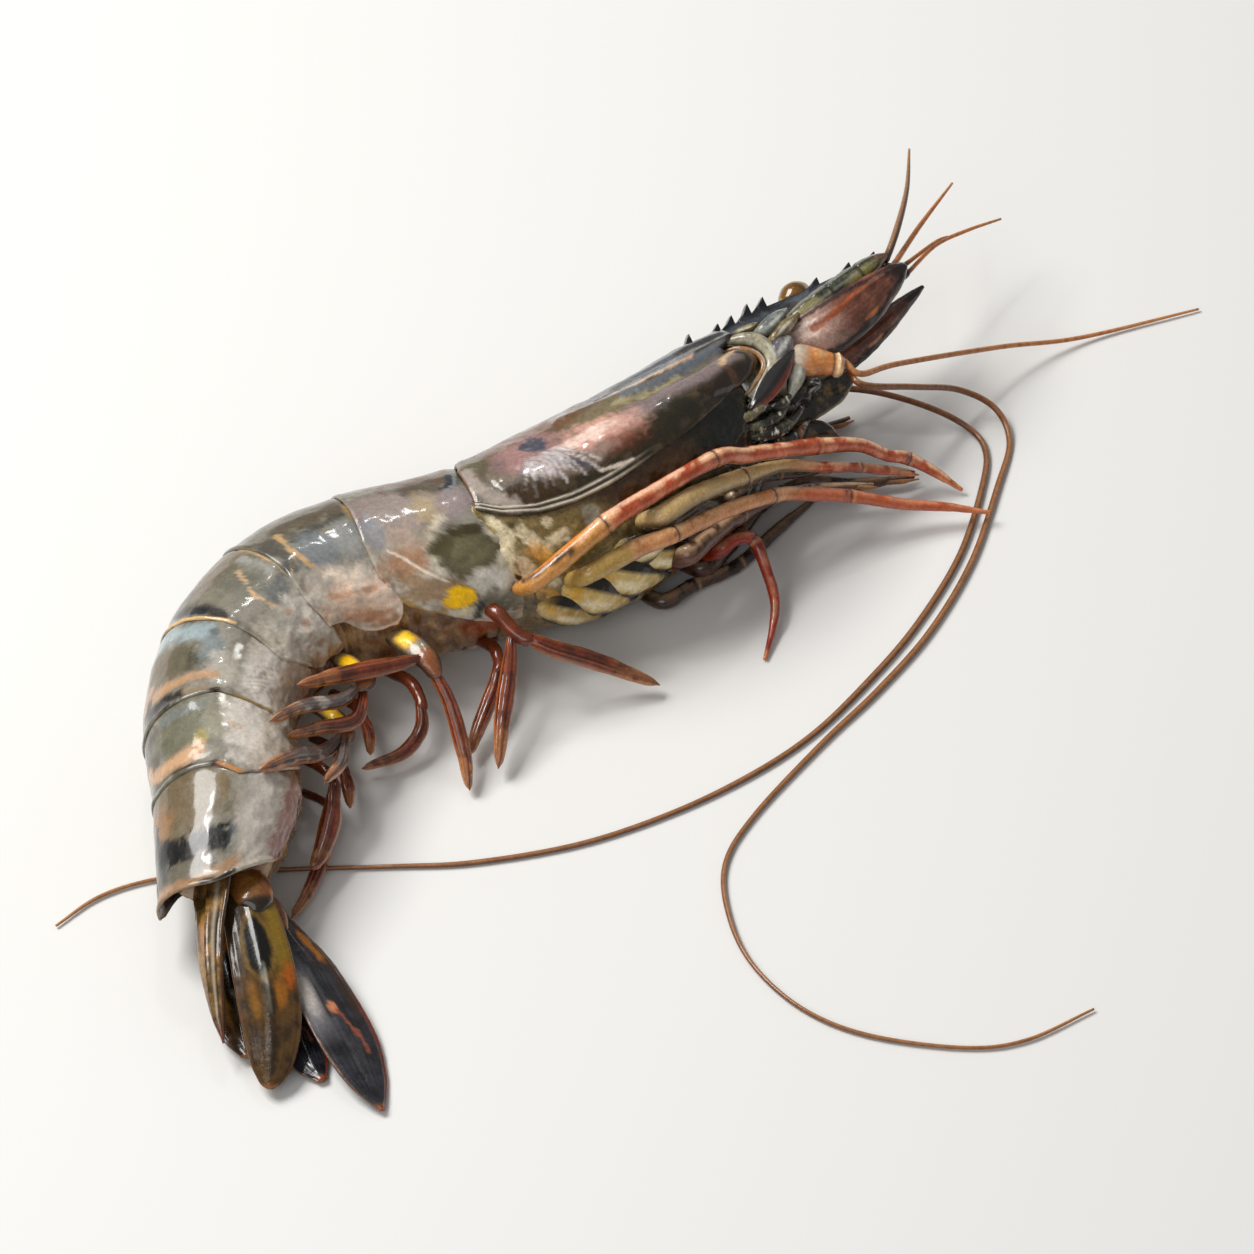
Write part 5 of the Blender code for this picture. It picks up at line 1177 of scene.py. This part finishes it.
# Walking legs: five pairs of jointed orange red rods. The near ones lie forward over the lobes,
# with a painted cream highlight along the top, painted shade underneath and dark rings at the joints; the first three
# pairs end in small pincers.
LEG_SHELL = wet("leg_shell", 0.24, 0.8, 0.12, 0.22, 0.4, 0.08)
WALKING_LEGS = {
    "right_1": ((17.0, 32.6, 13.8, 1.0), (22.0, 34.2, 13.0, 1.0), (27.0, 34.6, 10.6, 0.9), (32.0, 33.6, 8.6, 0.8),
                (37.0, 33.0, 7.0, 0.3)),
    "right_2": ((4.5, 28.8, 12.6, 1.3), (9.5, 29.6, 12.4, 1.4), (17.0, 31.6, 10.6, 1.3), (24.5, 33.0, 8.4, 1.1),
                (31.5, 32.0, 6.4, 0.9), (36.5, 30.0, 5.4, 0.7), (41.0, 28.0, 4.5, 0.3)),
    "right_3": ((1.5, 31.6, 20.6, 1.3), (8.5, 31.6, 20.6, 1.6), (18.5, 32.6, 17.0, 1.4), (26.5, 32.6, 14.4, 1.0),
                (33.0, 30.0, 12.0, 0.9), (39.0, 29.0, 8.8, 0.8), (43.5, 28.0, 6.0, 0.8), (48.0, 26.5, 3.8, 0.3)),
    "right_4": ((-12.5, 31.6, 17.4, 1.1), (-4.0, 30.4, 18.4, 1.5), (2.0, 29.0, 18.5, 1.3), (13.0, 29.6, 16.0, 1.2),
                (22.0, 29.6, 13.2, 1.1), (27.5, 28.4, 11.0, 1.1), (34.0, 25.5, 8.5, 1.0), (41.5, 21.5, 5.0, 0.9),
                (47.0, 18.0, 3.6, 0.7), (52.3, 13.8, 2.2, 0.3)),
    "right_5": ((-20.0, 34.6, 18.6, 1.1), (-7.5, 33.8, 23.0, 1.5), (-0.5, 33.4, 24.0, 1.4), (13.5, 33.6, 23.4, 1.3),
                (19.5, 33.4, 20.6, 1.3), (26.0, 32.5, 18.2, 1.2), (32.5, 32.0, 15.2, 1.3), (40.0, 30.5, 11.8, 1.1),
                (44.0, 28.5, 8.6, 1.0), (47.5, 27.5, 6.4, 1.0), (50.6, 24.5, 3.6, 0.8), (53.0, 21.0, 1.0, 0.3)),
    "left_1": ((22.5, 36.4, 6.2, 1.0), (28.0, 39.6, 5.4, 1.0), (34.0, 43.0, 5.0, 0.8), (41.0, 44.0, 4.2, 0.3)),
    "left_2": ((19.0, 35.6, 5.0, 1.0), (24.0, 39.8, 2.4, 1.0), (31.0, 43.4, 1.6, 0.9), (42.0, 45.0, 1.2, 0.7),
               (50.0, 44.0, 0.8, 0.3)),
    "left_3": ((10.5, 32.0, 3.4, 1.1), (18.0, 34.0, 2.2, 1.1), (27.0, 37.4, 2.2, 1.1), (34.5, 36.6, 2.4, 1.0),
               (40.0, 31.5, 2.4, 1.1), (49.0, 27.6, 1.4, 0.3)),
    "left_4": ((12.0, 30.6, 6.8, 0.9), (14.5, 29.8, 8.4, 1.0), (17.0, 28.2, 8.2, 1.0), (16.5, 24.8, 5.6, 0.9),
               (14.5, 20.0, 3.0, 0.8), (11.5, 17.0, 1.5, 0.6), (7.0, 13.5, 0.5, 0.3)),
    "left_5": ((2.0, 31.0, 2.4, 1.0), (8.0, 31.4, 1.6, 1.1), (16.0, 30.6, 1.2, 1.0), (26.0, 32.6, 1.1, 0.9),
               (36.0, 34.4, 0.8, 0.3)),
}
LEG_COLOURS = {"right_5": (194, 96, 64), "right_4": (196, 124, 80), "right_3": (184, 84, 52), "right_2": (84, 52, 38),
               "right_1": (40, 34, 32), "left_4": (146, 44, 24), "left_5": (40, 33, 28), "left_3": (58, 38, 30),
               "left_1": (34, 30, 26), "left_2": (52, 38, 30)}
LEG_JOINTS = {"right_5": (1, 3, 6, 9), "right_4": (2, 4, 6), "right_3": (2, 5), "right_2": (2, 4), "left_4": (2,)}


def tint_and_light_leg(name, skin, knuckles):
    reach = skin.first / skin.first.max()
    if name in ("right_3", "right_4", "right_5"):
        skin.mottle((232, 172, 140), (130, 54, 36), 0.45)
    else:
        skin.mottle((110, 70, 50), (24, 18, 16), 0.35)
    # painted highlight: a cream band along each leg's top, strong on the right legs, faint on the left
    top = np.exp(-((skin.second - 5) / 26) ** 2)
    skin.tint_and_light(top * smooth(-0.45, 0.1, skin.middle), (250, 214, 176), 0.85 if "right" in name else 0.25)
    # painted shade: darker red along each leg's underside
    skin.tint_and_light(smooth(80, 120, np.abs(skin.second)), (96, 38, 24), 0.7)
    if name == "right_5":
        skin.tint_and_light(1 - smooth(0.2, 0.27, reach), (204, 150, 84), 0.85)
        skin.tint_and_light(skin.line([(1, 20), (8, -10), (14, 25)], 1.1, 0.8), (44, 30, 22), 0.9)
        skin.tint_and_light(skin.line([(3, -50), (16, -40)], 1.2, 0.8), (222, 128, 56), 0.8)
        # pale pink line near the top: painted highlight
        skin.tint_and_light(skin.line([(16, 10), (24, -20), (36, -10)], 0.7, 0.6), (240, 196, 168), 0.8)
        skin.tint_and_light(np.exp(-((skin.second - 40) / 16) ** 2) * smooth(0.22, 0.3, reach), (150, 66, 44), 0.6)
    if name == "right_3":
        skin.tint_and_light(1 - smooth(0.3, 0.4, reach), (198, 172, 122), 0.9)
        skin.tint_and_light((1 - smooth(0.3, 0.4, reach)) * smooth(50, 80, np.abs(skin.second - 10)), (52, 44, 34), 0.8)
    if name == "right_4":
        skin.tint_and_light(1 - smooth(0.16, 0.22, reach), (178, 150, 88), 0.9)
        skin.tint_and_light(smooth(0.16, 0.24, reach) * (1 - smooth(0.5, 0.62, reach)), (206, 152, 106), 0.6)
        skin.tint_and_light(np.exp(-((skin.first - knuckles[2] + 0.9) / 0.7) ** 2), (90, 116, 104), 0.9)
        skin.tint_and_light(smooth(0.56, 0.64, reach), (176, 78, 52), 0.7)
    for knuckle in knuckles:
        ring = np.exp(-((skin.first - knuckle) / 0.2) ** 2)
        skin.tint_and_light(ring * smooth(-0.4, 0.2, skin.middle + 0.3), (36, 26, 28), 0.85)
        skin.tint_and_light(smooth(0.1, 0.5, skin.fine) * np.exp(-((skin.first - knuckle + 0.5) / 0.9) ** 2), (40, 34, 40), 0.7)
        skin.tint_and_light(np.exp(-((skin.first - knuckle - 0.6) / 0.3) ** 2), (222, 176, 130), 0.35)
    skin.tint_and_light(smooth(0.93, 1, reach), (214, 150, 96), 0.5)
    skin.lift(skin.middle, 0.07)


for name, route in WALKING_LEGS.items():
    (x, y, z, radius), *rest = route
    route = [(x - 1.0, y + 5.0, max(z - 5.0, 1.2), radius), (x, y, z, radius * 1.3), *rest]
    joints = [step + 1 for step in LEG_JOINTS.get(name, (1, 2))]
    rows, knuckles = rod_rows(route, joints, 18, 0.28)
    rods = [rows]
    if name[-1] in "123":
        (x0, y0, z0, _), (x1, y1, z1, _) = blend(route, len(route) - 1.7), route[-1]
        finger = [(x0, y0, z0, 0.3), ((x0 + x1) / 2 + 0.3, (y0 + y1) / 2 - 0.9, (z0 + z1) / 2, 0.4),
                  (x1 + 0.2, y1 - 0.9, z1, 0.1)]
        rods.append(rod_rows(finger, (), 12, 0.25)[0])
    skin = rod_piece(f"walking_leg_{name}", rods, LEG_SHELL, "legs", LEG_COLOURS.get(name, (150, 66, 40)),
                     [f"walking_leg_{name}"])
    tint_and_light_leg(name, skin, knuckles)
    skin.finish()


# Swimmerets: five pairs of paddles under the rings, each a stalk with a yellow spot and one or two
# pointed leaves. They are limp maroon shell with ridges along them and thin tan edges.
SWIMMER_SHELL = wet("swimmer_shell", 0.2, 0.9, 0.1, 0.25, 0.4, 0.08)
SWIMMERETS = {
    "right_1": (((-26.0, 36.4, 14.0, 1.6), (-25.6, 32.0, 12.6, 1.5)),
                (((-25.6, 33.4, 12.8, 0.9), (-22.5, 28.5, 11.0, 1.6), (-16.5, 24.5, 7.0, 1.7), (-9.5, 18.5, 2.0, 0.4)),
                 ((-25.8, 33.4, 12.6, 0.9), (-29.5, 29.6, 9.0, 1.6), (-34.0, 25.5, 6.0, 1.6), (-39.0, 20.5, 2.4, 0.4)))),
    "right_2": (((-39.6, 41.0, 13.2, 1.7), (-39.6, 36.0, 13.6, 1.6)),
                (((-39.6, 37.0, 13.4, 1.0), (-40.0, 31.0, 9.6, 1.3), (-42.0, 25.0, 4.5, 1.4), (-44.5, 20.5, 1.5, 0.4)),
                 ((-39.8, 37.0, 13.6, 0.9), (-45.5, 37.8, 15.0, 1.5), (-53.0, 40.2, 16.0, 1.6),
                  (-60.0, 41.6, 17.4, 0.5)))),
    "right_3": (((-48.4, 43.6, 12.0, 1.4), (-48.6, 39.0, 12.6, 1.3)),
                (((-48.8, 40.0, 12.4, 0.9), (-55.0, 37.2, 14.6, 1.4), (-62.0, 37.4, 17.8, 1.3),
                  (-69.5, 35.6, 21.2, 0.4)),
                 ((-48.8, 39.6, 12.0, 0.9), (-54.5, 34.6, 12.2, 1.4), (-61.0, 34.6, 14.8, 1.3),
                  (-67.5, 34.0, 18.0, 0.4)))),
    "right_4": (((-55.6, 38.2, 10.0, 1.2), (-55.8, 34.6, 9.4, 1.1)),
                (((-55.9, 35.6, 9.6, 0.9), (-62.0, 32.6, 12.0, 1.5), (-69.0, 30.6, 17.4, 1.6), (-76.5, 29.2, 20.8, 0.4)),
                 ((-55.8, 35.6, 9.6, 0.9), (-61.0, 30.0, 11.4, 1.3), (-66.5, 27.0, 12.8, 0.4)))),
    "right_5": (((-62.4, 31.8, 8.4, 1.1), (-62.6, 29.0, 7.6, 1.0)),
                (((-62.6, 30.0, 8.0, 0.9), (-66.6, 25.4, 7.0, 1.9), (-70.6, 22.4, 5.6, 1.7), (-74.0, 20.6, 4.6, 0.4)),)),
    "left_1": (((-26.5, 36.6, 6.6, 1.3), (-27.4, 34.0, 6.4, 1.2)),
               (((-27.2, 34.8, 6.4, 0.9), (-31.0, 31.4, 5.4, 1.4), (-36.0, 28.4, 3.6, 1.4), (-40.5, 25.6, 2.0, 0.4)),)),
    "left_2": (((-40.4, 39.2, 6.4, 1.3), (-41.0, 36.0, 6.0, 1.2)),
               (((-41.0, 37.0, 6.2, 0.9), (-43.5, 33.0, 4.4, 1.3), (-48.0, 31.6, 3.0, 1.3), (-54.5, 33.5, 2.2, 0.4)),)),
    "left_3": (((-49.0, 41.4, 5.2, 1.2), (-49.8, 38.4, 5.0, 1.1)),
               (((-49.8, 39.2, 5.1, 0.9), (-51.2, 35.8, 5.4, 1.2), (-53.4, 32.8, 5.2, 0.4)),)),
    "left_4": (((-56.8, 36.6, 5.0, 1.0), (-57.8, 33.4, 4.8, 1.0)),
               (((-57.8, 34.2, 4.9, 0.9), (-59.6, 30.4, 5.0, 1.3), (-62.0, 26.8, 4.6, 0.4)),)),
    "left_5": (((-63.8, 29.8, 3.6, 0.9), (-65.4, 27.6, 3.2, 0.9)),
               (((-65.2, 28.4, 3.3, 0.8), (-69.5, 23.8, 2.6, 1.3), (-75.6, 19.6, 2.0, 1.2), (-80.5, 17.4, 1.6, 0.4)),)),
}
GREY_LEAVES = {("right_3", 1), ("right_4", 1), ("right_4", 2)}
LEAF_FACE = (-0.25, -0.45, 0.85)
for name, (stalk, leaves) in SWIMMERETS.items():
    (x0, y0, z0, r0), (x1, y1, z1, r1) = stalk
    knee = leaves[0][1]
    spotted = name in ("right_2", "right_3", "right_4")
    wide = 1.15 if spotted else 0.75
    shells = [leaf_rows([(x0, y0 + 6.0, z0 - 2.0, r0 * 0.7), (x0, y0 + 0.5, z0, r0 * wide), (x1, y1 + 0.6, z1, r1 * wide),
                         ((x1 * 2 + knee[0]) / 3, (y1 * 2 + knee[1]) / 3, (z1 * 2 + knee[2]) / 3, r1 * 0.75),
                         ((x1 + knee[0]) / 2, (y1 + knee[1]) / 2, (z1 + knee[2]) / 2, 0.3)],
                        LEAF_FACE, 2.2, 0.0, 0, 28, 0.25)]
    for route in leaves:
        x, y, z, half = route[0]
        slim = [(*point[:3], point[3] * 0.82) for point in route[1:-1]]
        xe, ye, ze, _ = route[-1]
        xl, yl, zl, hl = slim[-1]
        near_tip = ((xl + 3 * xe) / 4, (yl + 3 * ye) / 4, (zl + 3 * ze) / 4, hl * 0.62)
        shells.append(leaf_rows([(x, y, z, half * 0.6), *slim, near_tip, (xe, ye, ze, 0.1)], LEAF_FACE, 1.7, 0.1, 0.25, 28, 0.3))
    shells = [[[(point, length + 100 * number, share) for point, length, share in row] for row in rows]
              for number, rows in enumerate(shells)]
    skin = Skin(add_piece(f"swimmeret_{name}", sweep(*shells), SWIMMER_SHELL, "swimmerets", f"swimmeret_{name}"),
                on_limb, (94, 36, 21))
    leaf_number = np.floor(skin.first / 100 + 0.001)
    length = skin.first - 100 * leaf_number
    skin.mottle((140, 64, 38), (40, 14, 10), 0.5)
    # raised ribs along each leaf: the light line is a painted highlight on the rib, and the dark line beside it is
    # painted shade
    for place in (-0.45, 0.1, 0.55):
        line = np.exp(-((skin.second - place) / 0.08) ** 2) * (leaf_number > 0)
        skin.tint_and_light(line, (186, 120, 90), 0.5)
        skin.tint_and_light(np.exp(-((skin.second - place - 0.2) / 0.08) ** 2) * (leaf_number > 0), (44, 18, 14), 0.7)
        skin.lift(line, 0.12)
    for number in range(1, len(leaves) + 1):
        here = leaf_number == number
        reach = length / length[here].max()
        if (name, number) in GREY_LEAVES:
            skin.tint_and_light(here, (112, 106, 104), 0.8)
            skin.tint_and_light(here * np.exp(-((np.abs(skin.second) - 0.75) / 0.15) ** 2), (30, 26, 26), 0.9)
            skin.tint_and_light(here * smooth(0.2, 0.6, skin.middle), (196, 190, 182), 0.6)
        skin.tint_and_light(here * smooth(0.8, 0.94, np.abs(skin.second)), (176, 104, 56), 0.85)
        skin.tint_and_light(here * smooth(0.62, 0.8, reach) * smooth(-0.3, 0.3, skin.middle + 0.2), (186, 130, 88), 0.7)
        skin.tint_and_light(here * smooth(0.62, 0.8, reach) * (1 - smooth(0.4, 0.7, np.abs(skin.second))), (120, 76, 54), 0.5)
    root = leaf_number == 0
    skin.tint_and_light(root, (108, 54, 34), 0.6)
    if spotted:
        skin.tint_and_light(root, (150, 128, 96), 0.9)
        skin.tint_and_light(root * smooth(9.0, 10.4, length), (128, 74, 44), 0.9)
        skin.tint_and_light(root * np.exp(-((length - 8.8) / 0.9) ** 2), (132, 126, 116), 0.8)
        skin.tint_and_light(root * smooth(0.55, 0.85, np.abs(skin.second)), (60, 48, 38), 0.9)
        spot = root * np.exp(-((length - 6.4) / 1.6) ** 4) * np.exp(-(skin.second / 0.6) ** 4)
        skin.tint_and_light(spot, (250, 196, 40))
        skin.tint_and_light(spot * smooth(0.1, 0.4, skin.middle), (248, 214, 110), 0.7)
    skin.lift(skin.middle, 0.08)
    skin.finish()


# Feelers: four short whips from the stalks' ends and three long ones that bend down and trail on
# the ground. Each is a springy brown rod of many short rings that tapers to a hair.
FEELER_SHELL = wet("feeler_shell", 0.3, 0.5, 0.05, 0.2, 0.5, 0.05)
SHORT_FEELERS = {
    "dark": ((23.5, 5.2, 2.4, 0.6), (68.0, 54.0, 23.5, 0.55), (75.5, 60.5, 22.0, 0.4), (83.0, 68.5, 20.0, 0.2)),
    "orange": ((23.6, 3.6, 2.6, 0.5), (73.0, 54.5, 20.0, 0.4), (84.5, 60.0, 18.0, 0.2)),
    "small": ((27.6, 2.8, -2.4, 0.4), (74.5, 52.5, 17.0, 0.3), (77.5, 53.0, 16.0, 0.2)),
    "bright": ((27.6, 1.6, -2.4, 0.4), (75.5, 53.5, 15.0, 0.35), (82.5, 54.0, 13.5, 0.3), (90.0, 54.5, 11.0, 0.2)),
}
GROUND = 0.5
LONG_FEELERS = {
    "ahead": ((5.6, -5.0, 8.5, 0.5), (45.5, 36.5, 19.0, 0.5), (54.0, 37.5, 15.0, 0.45), (74.5, 37.0, 6.0, 0.4),
              (89.0, 34.0, 1.2, 0.35), (107.8, 27.5, GROUND, 0.2)),
    "round": ((5.6, -6.7, 7.4, 0.5), (45.0, 35.0, 18.0, 0.55), (54.5, 34.5, 12.0, 0.5), (63.5, 34.0, 6.0, 0.5),
              (67.6, 30.0, 2.4, 0.5), (65.8, 24.5, GROUND, 0.5), (58.0, 18.4, GROUND, 0.5), (44.5, 9.0, GROUND, 0.5),
              (30.0, 2.0, GROUND, 0.5), (16.0, -2.2, GROUND, 0.5), (2.0, -5.2, GROUND, 0.45),
              (-15.0, -9.8, GROUND, 0.4), (-24.5, -14.5, GROUND, 0.4), (-30.5, -22.5, GROUND, 0.4),
              (-34.0, -32.0, GROUND, 0.35), (-34.0, -43.0, GROUND, 0.35), (-30.0, -53.0, GROUND, 0.35),
              (-21.0, -63.6, GROUND, 0.3), (-13.0, -68.4, GROUND, 0.3), (-1.5, -70.2, GROUND, 0.2)),
    "back": ((7.0, -6.3, -7.6, 0.6), (53.0, 41.6, 6.4, 0.5), (59.0, 36.0, 3.6, 0.5), (62.4, 30.8, 1.2, 0.5),
             (62.0, 26.0, GROUND, 0.5), (57.0, 20.6, GROUND, 0.5), (44.0, 11.2, GROUND, 0.5), (29.0, 4.2, GROUND, 0.5),
             (15.5, 0.0, GROUND, 0.5), (2.5, -2.8, GROUND, 0.45), (-10.0, -3.2, GROUND, 0.45),
             (-24.0, -1.5, GROUND, 0.4), (-38.5, 2.5, GROUND, 0.4), (-52.5, 9.5, GROUND, 0.4),
             (-62.0, 16.4, GROUND, 0.35), (-74.0, 25.6, GROUND, 0.35), (-84.0, 33.0, GROUND, 0.35),
             (-92.0, 37.5, GROUND, 0.3), (-99.5, 39.5, GROUND, 0.3), (-107.5, 39.0, GROUND, 0.2)),
}
FEELER_COLOURS = {"dark": (48, 46, 48), "orange": (172, 100, 54), "small": (180, 110, 60), "bright": (196, 124, 70),
                  "ahead": (176, 118, 76), "round": (112, 70, 44), "back": (98, 58, 38)}
for kind, feelers in (("short", SHORT_FEELERS), ("long", LONG_FEELERS)):
    for name, (root, *rest) in feelers.items():
        stub = [(root[0] - 4.0, root[1], root[2], 1.0), (root[0] - 1.0, *root[1:3], 0.8)] if kind == "short" else []
        rows, _ = rod_rows(head_route(*stub, root) + rest, (), 10, 0.5)
        skin = rod_piece(f"feeler_{kind}_{name}", [rows], FEELER_SHELL, "feelers", FEELER_COLOURS[name],
                         [f"feeler_{kind}_{name}"])
        rings = np.sin(skin.first * math.tau / 1.5)
        skin.tint_and_light(smooth(0.5, 1, rings), (66, 40, 26), 0.4)
        # painted highlight: a lighter band along each feeler's top
        skin.tint_and_light(np.exp(-((skin.second + 20) / 40) ** 2), (196, 146, 104), 0.55)
        skin.tint_and_light(smooth(0.75, 1, skin.first / skin.first.max()), (186, 136, 92), 0.5)
        if kind == "short":
            skin.tint_and_light(1 - smooth(3.5, 6.5, skin.first), (40, 31, 26), 0.95)
        skin.finish()


# Floor: a plain pale sheet under the prawn, a little matt.
floor_bm = bmesh.new()
bmesh.ops.create_grid(floor_bm, x_segments=4, y_segments=4, size=3.0)
floor_mesh = bpy.data.meshes.new("floor")
floor_bm.to_mesh(floor_mesh)
floor_bm.free()
floor = bpy.data.objects.new("floor", floor_mesh)
bpy.context.scene.collection.objects.link(floor)
paper = bpy.data.materials.new("pale_floor")
paper.use_nodes = True
paper.node_tree.nodes["Principled BSDF"].inputs["Base Color"].default_value = (0.78, 0.775, 0.76, 1)
paper.node_tree.nodes["Principled BSDF"].inputs["Roughness"].default_value = 0.6
floor_mesh.materials.append(paper)


# Light and camera: a large soft window light behind and to the left, a weaker fill, and small lamps
# that give the wet shell its glints. The camera looks down from in front of the belly side.
def lamp(name, place, aim, size, power, colour):
    light = bpy.data.lights.new(name, "AREA")
    light.shape = "RECTANGLE"
    light.size, light.size_y = size
    light.energy = power
    light.color = colour
    made = bpy.data.objects.new(name, light)
    made.location = place
    made.rotation_euler = (Vector(aim) - Vector(place)).to_track_quat("-Z", "Y").to_euler()
    bpy.context.scene.collection.objects.link(made)


lamp("window", (-0.3, 0.55, 0.8), (0, 0, 0), (0.55, 0.45), 9.6, (1.0, 0.985, 0.96))
lamp("fill", (-0.9, -0.4, 0.8), (0, 0, 0), (0.8, 0.6), 3.4, (1.0, 1.0, 1.0))
lamp("glint_1", (0.15, 0.32, 0.45), (0, 0.04, 0), (0.05, 0.03), 0.16, (1.0, 1.0, 1.0))
lamp("glint_2", (-0.12, 0.28, 0.5), (0, 0.04, 0), (0.05, 0.03), 0.16, (1.0, 1.0, 1.0))

world = bpy.data.worlds.new("studio")
world.use_nodes = True
world.node_tree.nodes["Background"].inputs["Color"].default_value = (0.70, 0.695, 0.68, 1)
world.node_tree.nodes["Background"].inputs["Strength"].default_value = 0.36
bpy.context.scene.world = world
bpy.context.scene.view_settings.view_transform = "Standard"

eye = bpy.data.cameras.new("camera")
eye.lens = 258
eye.clip_end = 10
camera = bpy.data.objects.new("camera", eye)
camera.location = (-0.6025, -0.6867, 0.9841)
camera.rotation_euler = (Vector((-0.0125, 0.0225, 0.0134)) - camera.location).to_track_quat("-Z", "Y").to_euler()
bpy.context.scene.collection.objects.link(camera)
bpy.context.scene.camera = camera
